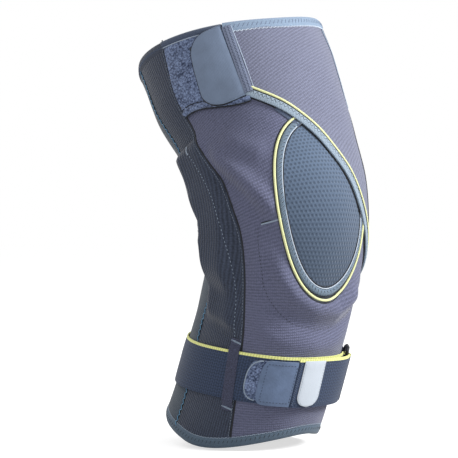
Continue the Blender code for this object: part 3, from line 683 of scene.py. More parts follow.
def bend(piece, upper):
    """Cloth over the knee, in its upper or lower half: its transform is baked into its points."""
    if upper:
        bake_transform(piece)
    else:
        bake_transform(piece)
    return piece


def sheet(piece, angle, along):
    """Works out where the panel's places lie on the sleeve's outer face, and hands the panel back unchanged.
    """
    worn = place(angle, along, BASE_HIGH)
    return piece


HALVES = (("upper", True), ("lower", False))
SIDES = (("lateral", -1), ("medial", 1))


def knee_halves(name, left, right, bottom, top, low, high, look, soft="bltr", nodes=((), ()), step=CELL):
    """A panel that crosses the knee, as two halves that meet at along = 0.

    nodes holds the CAD nodes that the upper and the lower half stand for.
    """
    for (word, upper), names in zip(HALVES, nodes):
        lower_side, upper_side = (at(0.0), top) if upper else (bottom, at(0.0))
        angle, along = span(left, right, lower_side, upper_side, step)
        kept = soft.replace("b" if upper else "t", "")
        made = cloth(f"{name}_{word}", angle, along, low(angle, along), high(angle, along), look, kept)
        sheet(made, angle, along)
        bend(made, upper)
        if names:
            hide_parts(*names)


# ---------------------------------------------------------------- stitches, tubes and tapes along a line

class Line:
    """A line of places, resampled by its length in millimetres, with its frame at each point."""

    def __init__(self, angle, along, lift):
        angle, along = np.asarray(angle, float), np.asarray(along, float)
        lift = lift(angle, along) if callable(lift) else np.zeros(len(angle)) + lift
        rough = place(angle, along, lift)
        self.length = np.concatenate([[0], np.cumsum(np.linalg.norm(np.diff(rough, axis=0), axis=1))]) / MM
        self.angle, self.along, self.lift = angle, along, lift

    def spots(self, distance, aside=0.0, rise=0.0):
        """Points at those distances, moved aside and outwards in millimetres, and the way out there."""
        angle = np.interp(distance, self.length, self.angle)
        along = np.interp(distance, self.length, self.along)
        lift = np.interp(distance, self.length, self.lift)
        here = place(angle, along, lift)
        out = place(angle, along, lift + 1) - here
        out /= np.linalg.norm(out, axis=1)[:, None]
        step = 0.4
        ahead = place(np.interp(distance + step, self.length, self.angle),
                      np.interp(distance + step, self.length, self.along), lift)
        behind = place(np.interp(distance - step, self.length, self.angle),
                       np.interp(distance - step, self.length, self.along), lift)
        way = ahead - behind
        way /= np.maximum(np.linalg.norm(way, axis=1)[:, None], 1e-12)
        side = np.cross(out, way)
        moved = here + side * np.reshape(aside, (-1, 1)) * MM + out * rise * MM
        return moved, way, out, side, along


def capsules(name, starts, ends, outs, thick, look):
    """Thread stitches: a four-sided spindle from each start to each end."""
    way = ends - starts
    way = way / np.maximum(np.linalg.norm(way, axis=1)[:, None], 1e-9)
    side = np.cross(way, outs)
    side /= np.maximum(np.linalg.norm(side, axis=1)[:, None], 1e-9)
    up = np.cross(side, way)
    r = thick / 2 * MM
    rings = []
    for share in (0.18, 0.82):
        middle = starts + (ends - starts) * share
        rings += [middle + up * r, middle + side * r, middle - up * r, middle - side * r]
    points = np.stack([starts - up * r * 0.5, *rings, ends - up * r * 0.5], 1)
    one = [(0, 2, 1), (0, 3, 2), (0, 4, 3), (0, 1, 4),
           (1, 2, 6, 5), (2, 3, 7, 6), (3, 4, 8, 7), (4, 1, 5, 8),
           (9, 5, 6), (9, 6, 7), (9, 7, 8), (9, 8, 5)]
    faces = [tuple(i + 10 * n for i in face) for n in range(len(starts)) for face in one]
    return add_mesh(name, points.reshape(-1, 3), faces, look)


def carry(name, starts, ends, outs, along, thick, look, body):
    """Makes stitches that ride on a body, or that lie over the knee in two pieces when body is 'knee'."""
    if body != "knee":
        made = capsules(name, starts, ends, outs, thick, look)
        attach(made, body)
        return
    for word, upper in HALVES:
        mine = along >= 0 if upper else along < 0
        if mine.any():
            bend(capsules(f"{name}_{word}", starts[mine], ends[mine], outs[mine], thick, look), upper)


def stitches(name, line, look, body, pitch=3.0, length=2.0, thick=0.55, aside=0.0, rise=0.1):
    """A running stitch along a line."""
    middles = np.arange(pitch / 2, line.length[-1], pitch)
    starts, _, outs, _, along = line.spots(middles - length / 2, aside, rise)
    ends = line.spots(middles + length / 2, aside, rise)[0]
    carry(name, starts, ends, outs, along, thick, look, body)


def zigzag(name, line, look, body, pitch=2.4, width=2.2, thick=0.5, aside=0.0, rise=0.15):
    """A zigzag stitch along a line."""
    corners = np.arange(0, line.length[-1], pitch / 2)
    off = aside + width / 2 * np.where(np.arange(len(corners)) % 2, 1, -1)
    spots, _, outs, _, along = line.spots(corners, off, rise)
    carry(name, spots[:-1], spots[1:], outs[:-1], along[:-1], thick, look, body)


def slants(name, line, look, body, pitch=3.0, width=3.0, lean=1.2, thick=0.6, aside=0.0, rise=0.15):
    """Separate slanting stitches across a line."""
    middles = np.arange(pitch / 2, line.length[-1], pitch)
    starts, _, outs, _, along = line.spots(middles - lean / 2, aside - width / 2, rise)
    ends = line.spots(middles + lean / 2, aside + width / 2, rise)[0]
    carry(name, starts, ends, outs, along, thick, look, body)


def tube(name, line, look, body, thick=1.0, aside=0.0, rise=0.0, flat=1.0, sides=8, step=1.6):
    """A round or flattened cord along a line, in one piece or in two over the knee."""
    count = max(int(line.length[-1] / step), 4)
    distance = np.linspace(0, line.length[-1], count + 1)
    if body == "knee":
        distance = with_crossings(line, distance)
    middle, _, outs, across, along = line.spots(distance, aside, rise)
    turns = np.arange(sides) * 2 * math.pi / sides
    r = thick / 2 * MM
    rings = (middle[:, None] + across[:, None] * (np.cos(turns) * r)[None, :, None]
             + outs[:, None] * (np.sin(turns) * r * flat)[None, :, None])
    weave = np.stack(np.broadcast_arrays(distance[:, None], (turns * thick / 2)[None]), -1)
    if body != "knee":
        made = tube_mesh(name, rings, weave, look)
        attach(made, body)
        return
    for word, upper in HALVES:
        mine = along >= -1e-6 if upper else along <= 1e-6
        for n, run in enumerate(runs_of(mine)):
            tail = f"_{n}" if n else ""
            bend(tube_mesh(f"{name}_{word}{tail}", rings[run], weave[run], look), upper)


def with_crossings(line, distance):
    """The distances with those added where the line crosses the knee's middle plane."""
    fine = np.linspace(0, line.length[-1], 4000)
    along = np.interp(fine, line.length, line.along)
    flips = np.nonzero(np.diff(np.sign(along)))[0]
    exact = []
    for i in flips:
        ends = sorted(((along[i], fine[i]), (along[i + 1], fine[i + 1])))
        exact.append(np.interp(0.0, *zip(*ends)))
    merged = np.sort(np.concatenate([distance, exact]))
    return merged[np.concatenate([[True], np.diff(merged) > 1e-4])]


def runs_of(mask):
    """Index runs where mask holds, each at least two long."""
    index = np.nonzero(mask)[0]
    if not len(index):
        return []
    parts = np.split(index, np.nonzero(np.diff(index) > 1)[0] + 1)
    return [part for part in parts if len(part) > 1]


def tube_mesh(name, rings, weave, look):
    """A tube through rings of points, with its two ends closed."""
    count, sides = rings.shape[:2]
    faces = []
    for i in range(count - 1):
        for k in range(sides):
            m = (k + 1) % sides
            faces.append((i * sides + k, (i + 1) * sides + k, (i + 1) * sides + m, i * sides + m))
    faces.append(tuple(range(sides)))
    faces.append(tuple(reversed(range((count - 1) * sides, count * sides))))
    made = add_mesh(name, rings.reshape(-1, 3), faces, look, weave.reshape(-1, 2))
    fix_normals(made)
    return made


def fix_normals(piece):
    mesh = bmesh.new()
    mesh.from_mesh(piece.data)
    bmesh.ops.recalc_face_normals(mesh, faces=mesh.faces)
    mesh.to_mesh(piece.data)
    mesh.free()


def ribbon(name, line, look, body, width, thick, rows=6, crown=0.45, aside=0.0, step=2.2, replaces=()):
    """A flat tape along a line, thicker in its middle, in one piece or in two over the knee."""
    count = max(int(line.length[-1] / step), 4)
    distance = np.linspace(0, line.length[-1], count + 1)
    if body == "knee":
        distance = with_crossings(line, distance)
    offsets = np.linspace(-0.5, 0.5, rows) * width
    rise = thick * (1 - crown * np.abs(2 * offsets / width) ** 2.5)
    outer = np.stack([line.spots(distance, aside + o, r)[0] for o, r in zip(offsets, rise)])
    inner = np.stack([line.spots(distance, aside + o, 0.0)[0] for o in offsets])
    along = line.spots(distance)[4]
    weave = np.stack(np.meshgrid(distance, offsets), -1)
    runs = [("", np.arange(len(distance)), None)]
    if body == "knee":
        runs = [(f"_{word}", run, upper) for word, upper in HALVES
                for run in runs_of(along >= -1e-6 if upper else along <= 1e-6)]
    for n, (tail, run, upper) in enumerate(runs):
        made = layered(f"{name}{tail}", outer[:, run], inner[:, run], look, weave[:, run])
        if upper is None:
            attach(made, body)
        else:
            bend(made, upper)
        if replaces and n == 0:
            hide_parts(*replaces)
    return made


def layered(name, outer, inner, look, weave):
    """Closed cloth from its outer and inner points, whichever way round the grid runs."""
    rows, columns = outer.shape[:2]
    faces = grid_faces(rows, columns)
    points = np.concatenate([outer.reshape(-1, 3), inner.reshape(-1, 3)])
    made = add_mesh(name, points, faces, look, np.concatenate([weave.reshape(-1, 2)] * 2), weld=True)
    fix_normals(made)
    return made


def rounded(share, power=3.5):
    """Half width of a strip with rounded ends, as a share: share runs from 0 to 1 over the rounded part."""
    return (1 - (1 - np.clip(share, 0, 1)) ** power) ** (1 / power)


def strap(name, angles, lifts, look, body, half, thick, middle=strap_middle, start_round=0.0,
          rows=9, crown=0.3, replaces=()):
    """Flat webbing along a path of angles and lifts; its faces turn with the path."""
    angles, lifts = np.asarray(angles, float), np.asarray(lifts, float)
    lifts = np.broadcast_to(lifts, angles.shape)
    across = np.linspace(-1, 1, rows)
    width = np.ones(len(angles))
    if start_round:
        width = width * rounded(np.abs(angles - angles[0]) / start_round)
    offset = across[:, None] * half * width[None]
    middles = np.asarray(middle(angles)) + offset
    base = place(angles[None], middles, lifts[None])
    centre = place(angles, middle(angles) + 0 * angles, lifts)
    way = np.gradient(centre, axis=0)
    up = place(angles, middle(angles) + 1.0, lifts) - centre
    normal = np.cross(way, up)
    normal /= np.linalg.norm(normal, axis=1)[:, None]
    profile = thick * (1 - crown * np.abs(across) ** 4)
    outer = base + normal[None] * profile[:, None, None] * MM
    run = np.concatenate([[0], np.cumsum(np.linalg.norm(np.diff(centre, axis=0), axis=1))]) / MM
    weave = np.stack(np.broadcast_arrays(run[None], offset), -1)
    made = layered(name, outer, base, look, weave)
    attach(made, body)
    if replaces:
        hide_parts(*replaces)
    return made


def bartack(name, angle, along, lift, turn, length, look, body, width=2.4):
    """A dense zigzag bar; turn is its direction in degrees from across the leg."""
    half = length / 2
    dx, dy = math.cos(math.radians(turn)) * half, math.sin(math.radians(turn)) * half
    line = Line([angle - dx, angle, angle + dx], [along - dy, along, along + dy], lift)
    zigzag(name, line, look, body, pitch=0.9, width=width, thick=0.5)


# ---------------------------------------------------------------- the sleeve's panels

def front_reach(turn, reaches):
    """Which places along the rays lie inside the front panel."""
    angle = OVAL_MIDDLE + reaches[None] * np.cos(turn)[:, None]
    along = reaches[None] * np.sin(turn)[:, None]
    right = np.where(along > UNDERLAP_FROM, UNDERLAP_END, front_seam(along) - 0.4)
    inside = (angle > -front_seam(along) + 0.4) & (angle < right)
    inside &= (along < panel_top(angle)) & (along > panel_bottom(angle))
    return reaches[np.argmin(inside, axis=1)]


def front_corners():
    """The panel's corners, as places."""
    places = []
    for edge in (panel_top, panel_bottom):
        angle = -70.0
        for _ in range(12):
            along = float(edge(angle))
            angle = float(-front_seam(along) + 0.4)
        places.append((angle, along))
    angle, along = 60.0, -150.0
    for _ in range(12):
        along = float(panel_bottom(angle))
        angle = float(front_seam(along) - 0.4)
    places.append((angle, along))
    places.append((UNDERLAP_END, float(panel_top(UNDERLAP_END))))
    places.append((UNDERLAP_END, UNDERLAP_FROM))
    places.append((float(front_seam(UNDERLAP_FROM)) - 0.4, UNDERLAP_FROM))
    return places


def front_panel():
    corners = [math.atan2(s, a - OVAL_MIDDLE) % (2 * math.pi) for a, s in front_corners()]
    for (word, upper), nodes in zip(HALVES, (("lateral_front_panel_thigh", "front_panel_knee"),
                                             ("front_panel_calf",))):
        first = 0.0 if upper else math.pi
        turn = np.linspace(first, first + math.pi, 150)
        turn = np.unique(np.concatenate([turn, [c for c in corners if first < c < first + math.pi],
                                         [first + 0.004, first + math.pi - 0.004]]))
        inner = oval_reach(turn, 0.3)
        outer = front_reach(turn, np.arange(30, 240, 0.2))
        share = shares(95.0)[:, None]
        reach = inner[None] * (1 - share) + outer[None] * share
        angle = OVAL_MIDDLE + reach * np.cos(turn)[None]
        along = reach * np.sin(turn)[None]
        made = cloth(f"front_panel_{word}", angle, along, BASE_LOW + ground(angle, along),
                     BASE_HIGH + ground(angle, along), "mauve", soft="bt")
        bend(made, upper)
        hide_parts(*nodes)


def side_panels():
    for side, sign in SIDES:
        edges = [seam(front_seam, sign, -0.3), seam(rear_seam, sign, 0.3)]
        left, right = edges if sign > 0 else edges[::-1]

        def low(angle, along):
            return BASE_LOW + 0 * angle

        def high(angle, along):
            inside = smooth((78 - along) / 6) * smooth((along + 84) / 6)
            return BASE_HIGH - 0.35 * inside + ripple(angle, along) * 0.3

        def cover(angle, along):
            return 1.75 + 0.5 * smooth((76 - along) / 12) * smooth((along + 81) / 12) + ground(angle, along)

        knee_halves(f"{side}_side_panel", left, right, panel_bottom, panel_top, low, high, "charcoal",
                    nodes=((f"{side}_side_panel_thigh", f"{side}_side_panel_knee"),
                           (f"{side}_side_panel_calf",)))
        knee_halves(f"{side}_pocket_cover", left, right, at(-80.0), at(75.0),
                    over_ground(1.45), cover, "charcoal",
                    nodes=((f"{side}_pocket_cover_thigh", f"{side}_pocket_cover_knee"),
                           (f"{side}_pocket_cover_calf",)))


def back_panel():
    left = seam(rear_seam, 1, -0.3)

    def right(along):
        return 360 - rear_seam(along) - 0.3

    knee_halves("back_panel", left, right, panel_bottom,
                panel_top, over_ground(BASE_LOW), over_ground(BASE_HIGH), "teal",
                nodes=(("back_panel_thigh", "popliteal_panel"), ("back_panel_calf",)), step=3.2)


def bindings():
    angle = np.linspace(84 - 360, UNDERLAP_END, 160)
    line = Line(angle, top_edge(angle) - BINDING_WIDTH / 2, BASE_LOW)
    ribbon("top_binding", line, "lateral_top_tape", "thigh", BINDING_WIDTH, 1.8, replaces=("top_binding",))
    zigzag("top_binding_stitches", line, "slate_thread", "thigh", pitch=2.6, width=2.2, rise=1.75)
    angle = np.linspace(-180, 180, 200)
    line = Line(angle, bottom_edge(angle) + BINDING_WIDTH / 2, BASE_LOW)
    ribbon("bottom_binding", line, "bottom_tape", "calf", BINDING_WIDTH, 2.1, replaces=("bottom_binding",))
    slants("bottom_binding_stitches", line, "dark_thread_and_shadow", "calf", pitch=3.4, width=2.6, lean=1.5,
           thick=0.55, rise=2.0, aside=0.6)
    line = Line(angle, bottom_edge(angle) + BINDING_WIDTH, BASE_HIGH)
    zigzag("bottom_binding_edge_thread", line, "grey_line", "calf", pitch=3.0, width=0.8, thick=0.5,
           rise=0.25)


def panel_seams():
    """The lines of thread and shadow where panels meet, and the stitching of the splint pockets."""
    for side, sign in SIDES:
        along = np.linspace(float(bottom_edge(55.0)) + 5, float(top_edge(88.0)) - 6, 220)
        line = Line(sign * front_seam(along), along, over_ground(1.65))
        tube(f"{side}_front_seam_shadow", line, "dark_thread_and_shadow", "knee", thick=1.3, flat=0.7, rise=0.15)
        edge = Line(sign * (front_seam(along) + 1.6), along, over_ground(2.25))
        stitches(f"{side}_front_seam_thread", edge, "seam_thread", "knee", pitch=2.3, length=1.9, thick=0.4,
                 rise=0.0)
        along = np.linspace(float(bottom_edge(115.0)) + 6, float(top_edge(120.0)) - 6, 220)
        line = Line(sign * rear_seam(along), along, over_ground(1.8))
        tube(f"{side}_rear_seam_shadow", line, "dark_thread_and_shadow", "knee", thick=1.1, flat=0.6)
        zigzag(f"{side}_rear_seam_thread", line, "blue_thread", "knee", pitch=4.6, width=3.4, thick=0.7,
               rise=0.5)
        along = np.linspace(-78, 70, 160)
        line = Line(sign * pocket_line(along), along, over_ground(2.28))
        stitches(f"{side}_pocket_thread", line, "grey_line", "knee", pitch=3.0, length=1.4, thick=0.55,
                 rise=0.0)
        bartack(f"{side}_pocket_bartack", sign * 103, 70, over_ground(2.3), 90, 7.0,
                "light_thread", "thigh", 1.8)


PAD_LINE = [(-65, -1), (-65, -9), (-62, -22), (-58, -34), (-53, -41), (-43, -49), (-30, -55), (-6, -58),
            (8, -56), (22, -50), (34, -42), (44, -33)]


def pad_stitches():
    places = np.array(PAD_LINE, float)
    fine = np.linspace(0, len(places) - 1, 80)
    angle = np.interp(fine, np.arange(len(places)), places[:, 0])
    along = np.interp(fine, np.arange(len(places)), places[:, 1])
    line = Line(angle, along, over_ground(1.72))
    stitches("pad_thread", line, "dark_thread_and_shadow", "knee", pitch=2.8, length=1.5, thick=0.55, rise=0.0)
    line = Line([-62.5, -54, -47], [0.5, 1.5, 2.5], over_ground(1.8))
    tube("pad_bartack", line, "grey_line", "knee", thick=1.2, sides=6)
    tube("pad_bartack_shadow", line, "dark_thread_and_shadow", "knee", thick=0.8, aside=1.0, rise=-0.1, sides=6)


# ---------------------------------------------------------------- the kneecap's oval

def dimple_depth(angle, along):
    """0 on the high ground and 1 in the middle of a dimple; rows are staggered by half a pitch."""
    across = np.radians(angle) * LEG_RADIUS
    row = np.floor(along / DIMPLE_UP)
    x = across / DIMPLE_ACROSS + 0.5 * np.mod(row, 2)
    dx = (x - np.floor(x) - 0.5) * 2.7
    dy = (along / DIMPLE_UP - row - 0.5) * 3.0
    return np.exp(-((dx**2 + dy**2) ** 1.5))


def oval_polar(first, grow_in, grow_out, count, step):
    """A half ring or half disc of places about (OVAL_MIDDLE, 0)."""
    turn = np.linspace(first, first + math.pi, count)
    inner = oval_reach(turn, grow_in) if grow_in is not None else turn * 0 + 0.02
    outer = oval_reach(turn, grow_out)
    share = shares(float(np.mean(outer - inner)), step, 0.5)[:, None]
    reach = inner[None] * (1 - share) + outer[None] * share
    return OVAL_MIDDLE + reach * np.cos(turn)[None], reach * np.sin(turn)[None], share


def kneecap():
    """The dimpled patch and the pad ring behind it, each in an upper and a lower part."""
    for word, upper in HALVES:
        first = 0.0 if upper else math.pi
        angle, along, _ = oval_polar(first, None, -6.4, 140, 0.75)
        swell = ground(angle, along) * 0.6
        high = 1.75 + swell - 0.2 * dimple_depth(angle, along)
        patch = cloth(f"patella_patch_{word}", angle, along, BASE_LOW + swell * 0.5, high, "kneecap",
                      soft="t", weld=True)
        bend(patch, upper)
        angle, along, share = oval_polar(first, -12, 2, 120, 1.2)
        round_off = np.sqrt(np.maximum(1 - (2 * share - 1) ** 2, 0.0))
        pad = cloth(f"patella_pad_ring_{word}", angle, along, -0.5 - 2.7 * round_off, -0.2 + 0 * angle,
                    "silicone", soft="")
        bend(pad, upper)
        if upper:
            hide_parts("patella_patch")
            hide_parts("patella_pad_ring")


def oval_edges():
    """The oval's binding and piping, with their stitches and shadow lines."""
    turn = np.linspace(0, 2 * math.pi, 260)
    line = Line(*on_oval(turn, -4.6), over_ground(BASE_LOW + 0.4, 0.8))
    ribbon("oval_binding", line, "oval_tape", "knee", 4.9, 1.9, crown=0.4, replaces=("oval_binding",))
    slants("oval_binding_thread", line, "grey_line", "knee", pitch=3.2, width=2.4, lean=-1.5, thick=0.45,
           rise=1.82)
    slants("oval_binding_dark_thread", line, "dark_thread_and_shadow", "knee", pitch=3.2, width=2.0, lean=-1.5,
           thick=0.5, rise=1.8, aside=0.7)
    line = Line(*on_oval(turn, -6.9), over_ground(2.1, 0.8))
    tube("oval_inner_line", line, "white_thread", "knee", thick=0.65, sides=6)
    line = Line(*on_oval(turn, -7.7), over_ground(1.9, 0.8))
    tube("oval_inner_shadow", line, "dark_thread_and_shadow", "knee", thick=0.7, sides=6)
    line = Line(*on_oval(turn, -1.0), over_ground(2.0))
    tube("oval_piping", line, "yellow", "knee", thick=1.9, rise=0.2)
    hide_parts("oval_piping")
    for word, grow in (("inner", -2.3), ("outer", 0.4)):
        line = Line(*on_oval(turn, grow), over_ground(1.85))
        tube(f"oval_piping_{word}_shadow", line, "dark_thread_and_shadow", "knee", thick=0.75, sides=6)


# ---------------------------------------------------------------- the wrap and its closure

def wrap_end():
    """The angle where the wrap's lower edge meets the medial seam."""
    angle = 80.0
    for _ in range(40):
        angle = 0.5 * angle + 0.5 * float(front_seam(wrap_edge(angle)) - 1.5)
    return angle


def wrap_wave(angle, along):
    return 0.35 + 0.35 * np.sin(np.radians(angle) * 5.2 + along / 17.0)


def wrap_low(angle, along):
    return OVER_LOW + ground(angle, along) + wrap_wave(angle, along)


def wrap_high(angle, along):
    return wrap_low(angle, along) + OVER_HIGH - OVER_LOW


def wrap():
    right = seam(front_seam, 1, 1.2)

    def edge(angle):
        return wrap_edge(angle) + BINDING_WIDTH + 0.5

    def upper_bottom(angle):
        return np.maximum(edge(angle), 0.0)

    angle, along = span(at(WRAP_START), right, upper_bottom, panel_top)
    made = cloth("front_wrap_upper", angle, along, wrap_low(angle, along), wrap_high(angle, along), "wrap")
    sheet(made, angle, along)
    bend(made, True)
    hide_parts("front_wrap_thigh", "front_wrap_knee")
    crossing = np.interp(0.4, *zip(*sorted((-float(edge(a)), a) for a in np.arange(-47, 88, 0.5))))
    angle, along = span(at(crossing), right, edge, at(0.0))
    made = cloth("front_wrap_lower", angle, along, wrap_low(angle, along), wrap_high(angle, along), "wrap",
                 soft="br")
    sheet(made, angle, along)
    bend(made, False)


def wrap_borders():
    """The tape and the piping along the wrap's lower edge."""
    end = wrap_end()
    angle = np.linspace(WRAP_START, end, 200)
    low = Line(angle, wrap_edge(angle) + BINDING_WIDTH / 2, wrap_low)
    ribbon("wrap_edge_binding", low, "edge_tape", "knee", 6.3, 1.9, replaces=("wrap_edge_binding",))
    zigzag("wrap_edge_thread", low, "dark_thread_and_shadow", "knee", pitch=3.4, width=2.8, thick=0.5, rise=1.8,
           aside=0.3)
    line = Line(angle, wrap_edge(angle) + BINDING_WIDTH + 1.0, wrap_high)
    tube("wrap_edge_piping", line, "yellow", "knee", thick=2.0, rise=0.0)
    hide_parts("wrap_edge_piping")
    line = Line(angle, wrap_edge(angle) + BINDING_WIDTH - 0.6, wrap_high)
    tube("wrap_piping_shadow", line, "dark_thread_and_shadow", "knee", thick=0.7, rise=0.15, sides=6)
    line = Line(angle, wrap_edge(angle) - 0.4, over_ground(1.8))
    tube("wrap_edge_shadow", line, "dark_thread_and_shadow", "knee", thick=1.0, rise=0.1, sides=6)
    line = Line(np.linspace(-33, -21, 12), np.linspace(66, 50, 12), over_ground(1.75))
    ribbon("oval_tape_end", line, "patch_tape", "knee", 4.2, 0.9)


def wrap_top():
    angle = np.linspace(WRAP_START, float(front_seam(140.0)) - 1.5, 90)
    top = Line(angle, top_edge(angle) - BINDING_WIDTH / 2, lambda a, s: OVER_LOW + wrap_wave(a, s))
    ribbon("wrap_top_binding", top, "top_tape", "thigh", BINDING_WIDTH, 2.2, replaces=("wrap_top_binding",))
    slants("wrap_top_thread", top, "slate_thread", "thigh", pitch=3.4, width=3.6, lean=2.4, thick=0.6,
           rise=2.1)
    line = Line(angle, top_edge(angle) - BINDING_WIDTH - 0.2, wrap_high)
    zigzag("wrap_top_edge_thread", line, "white_thread", "thigh", pitch=3.2, width=1.3, thick=0.6, rise=0.2)


def tape_left(along):
    """The front edge of the slate tape on the wrap's medial side, which narrows downwards."""
    return through([72, 100, 160], [45, 38, 29], along)


def medial_tape():
    angle, along = span(tape_left, at(52.0), at(74.0), lambda a: top_edge(a) - BINDING_WIDTH - 0.5)
    low = wrap_high(angle, along) - 0.05
    made = cloth("wrap_medial_tape", angle, along, low, low + 0.7, "patch_tape")
    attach(made, "thigh")
    along = np.linspace(float(top_edge(29.0)) - BINDING_WIDTH - 1, 74, 60)
    line = Line(tape_left(along), along, lambda a, s: wrap_high(a, s) + 0.5)
    tube("wrap_medial_tape_line", line, "grey_line", "thigh", thick=0.9, sides=6)
    along = np.linspace(74, -4, 60)
    line = Line(45.0 - 0.03 * (74 - along), along, wrap_high)
    tube("wrap_medial_seam", line, "dark_thread_and_shadow", "knee", thick=1.7, flat=0.5, rise=0.1, sides=6)


def loop_patch_low(angle):
    return 81 + 16 * smooth((-angle - 47) / 45)


def tufts(angle, along, size=0.3):
    a, s = np.radians(angle) * 60, along
    return size * (np.sin(a * 2.1 + 1.3 * np.sin(s * 0.9)) * np.sin(s * 2.3 + 1.1 * np.sin(a * 1.1)))


def thigh_closure():
    lift = OVER_LOW
    angle, along = span(lambda s: -front_seam(s) + 0.8, at(WRAP_START - 0.4), loop_patch_low,
                        lambda a: top_edge(a) - 3.5, 1.1)
    face = lift + 1.3 + tufts(angle, along)
    made = cloth("thigh_loop_patch", angle, along, lift + 0 * angle, face, "loop")
    sheet(made, angle, along)
    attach(made, "thigh")
    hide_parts("thigh_loop_patch")
    angle = np.linspace(float(-front_seam(97.0)) + 0.8, WRAP_START + 0.8, 40)
    hem = Line(angle, loop_patch_low(angle) - 1.2, lift)
    ribbon("loop_patch_hem", hem, "loop", "thigh", 5.0, 2.9, rows=10, crown=1.0)
    # Painted shadow: two dark lines along the lower and upper edges of the rolled hem.
    for word, off in (("low", -4.1), ("high", 1.8)):
        line = Line(angle, loop_patch_low(angle) + off, lift + 1.0)
        tube(f"loop_patch_{word}_line", line, "dark_thread_and_shadow", "thigh", thick=1.0, sides=6)
    angle = np.linspace(float(-front_seam(148.0)) + 0.8, WRAP_START - 0.4, 40)
    line = Line(angle, top_edge(angle) - 3.0, lift)
    ribbon("loop_patch_top_tape", line, "patch_tape", "thigh", 4.6, 2.2)
    upper = Line(angle, top_edge(angle) - 0.8, lift + 1.2)
    tube("loop_patch_hem_line", upper, "seam_thread", "thigh", thick=0.7, sides=6)
    line = Line(angle, top_edge(angle) - 5.9, lift + 1.6)
    tube("loop_patch_top_line", line, "light_thread", "thigh", thick=0.7, sides=6)


TAB_REACH, TAB_MIDDLE, TAB_HALF, TAB_CORNER = 23.6, 110.8, 28.8, 13.0


def tab_place(share, side):
    """A place on the hook tab.

    share is 0 at the fold and 1 at the tip; side is -1 at the lower edge and 1 at the upper.
    """
    run = np.clip((share * TAB_REACH - (TAB_REACH - TAB_CORNER)) / TAB_CORNER, 0, 1)
    half = TAB_HALF - TAB_CORNER + TAB_CORNER * np.sqrt(1 - run**2)
    off = side * half
    along = TAB_MIDDLE + off + 3.0 * smooth(share * 1.2 - 0.2) * (side < 0) * -side
    return TAB_FOLD - share * (TAB_REACH - 0.12 * off), along


def wrap_tab():
    share = (1 - (1 - np.linspace(0, 1, 26)) ** 1.8)[::-1][None]
    up = shares(57, 2.2)[:, None] * 2 - 1
    angle, along = tab_place(share, up)
    lift = 4.6 + 0.3 * smooth(share) + 0.2 * ripple(angle, along)
    made = cloth("wrap_hook_tab", angle, along, lift, lift + 1.25, "tab")
    sheet(made, angle, along)
    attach(made, "wrap_tab")
    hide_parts("wrap_hook_tab")
    inset = span(at(-70.0), at(-51.0), at(87.0), at(135.0))
    made = cloth("wrap_tab_hook_field", *inset, 3.75, 4.7, "hooks")
    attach(made, "wrap_tab")
    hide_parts("wrap_tab_hook_field")
    angle, along = tab_outline(0.0)
    rim = Line(angle, along, lambda a, s: 5.5 + 0.2 * ripple(a, s))
    tube("wrap_tab_rim", rim, "tab", "wrap_tab", thick=1.1, sides=6)
    angle, along = tab_outline(-0.7)
    line = Line(angle, along, lambda a, s: 4.75 + 0.2 * ripple(a, s))
    tube("wrap_tab_edge_shadow", line, "dark_thread_and_shadow", "wrap_tab", thick=1.1, sides=6)


def tab_outline(inset):
    """The hook tab's free edge from the fold round its tip and back, moved in by some millimetres."""
    share = 1 - (1 - np.linspace(0, 1, 40)) ** 1.8
    tip = np.linspace(1, -1, 22)[1:-1]
    angle, along = tab_place(np.concatenate([share, 1 + 0 * tip, share[::-1]]),
                             np.concatenate([share * 0 + 1, tip, share * 0 - 1]))
    scale = 1 - inset / TAB_HALF
    return TAB_FOLD + (angle - TAB_FOLD) * (1 - inset / TAB_REACH), TAB_MIDDLE + (along - TAB_MIDDLE) * scale


def wrap_strip():
    along = np.linspace(83, float(top_edge(-45.0)) - 4, 40)
    line = Line(-45.3 + 0.012 * (along - 110), along, OVER_HIGH + 0.6)
    ribbon("wrap_seam_strip", line, "strip", "thigh", 6.6, 1.7, crown=0.25, replaces=("wrap_seam_strip",))
    for word, off in (("left", -1.3), ("right", 1.3)):
        zigzag(f"wrap_strip_{word}_thread", line, "navy_thread", "thigh", pitch=2.6, width=1.5, thick=0.45,
               aside=off, rise=1.65)
    edge = Line(-42.0 + 0 * along, along, OVER_HIGH + 0.75)
    tube("wrap_strip_line", edge, "light_thread", "thigh", thick=0.7, sides=6)


# ---------------------------------------------------------------- the calf strap

def turn_round(angle, lift, reach, half_turn, out, steps=14):
    """Path points round a bar, from its inner side to its outer side."""
    per_degree = math.radians(1) * float(radius(angle, strap_middle(angle)))
    a = half_turn * (np.linspace(0, 1, steps) - 0.5)
    return angle + out * reach * np.cos(a) / per_degree, lift + reach * np.sin(a)


STRAP_LOW, STRAP_THICK = 2.5, 1.4
TAIL_LOW, TAIL_AT_RING = 5.7, 7.75
TAG_ANGLE = -7.4


def tail_low(angle):
    """The lift of the tail's inner face, which rises toward the ring."""
    return TAIL_LOW + (TAIL_AT_RING - TAIL_LOW) * smooth((angle - 4) / 32)


def tail_face(angle, along):
    return tail_low(angle) + STRAP_THICK


def calf_strap():
    angles = np.linspace(66 - 360, STRAP_TURN_ANGLE - 3, 150)
    reach = RING_LIFT - STRAP_LOW
    turn_angles, turn_lifts = turn_round(STRAP_TURN_ANGLE, RING_LIFT, reach, math.pi, 1)
    end_angles = np.concatenate([angles, turn_angles])
    end_lifts = np.concatenate([STRAP_LOW + 0 * angles, turn_lifts])
    strap("calf_strap", end_angles, end_lifts, "strap", "calf", STRAP_HALF, STRAP_THICK,
          replaces=("calf_strap",))
    angles = np.linspace(-19.8, STRAP_TURN_ANGLE - 1.0, 34)
    strap("strap_tail", angles, tail_low(angles), "strap", "strap_tail", STRAP_HALF, STRAP_THICK,
          replaces=("strap_tail",))


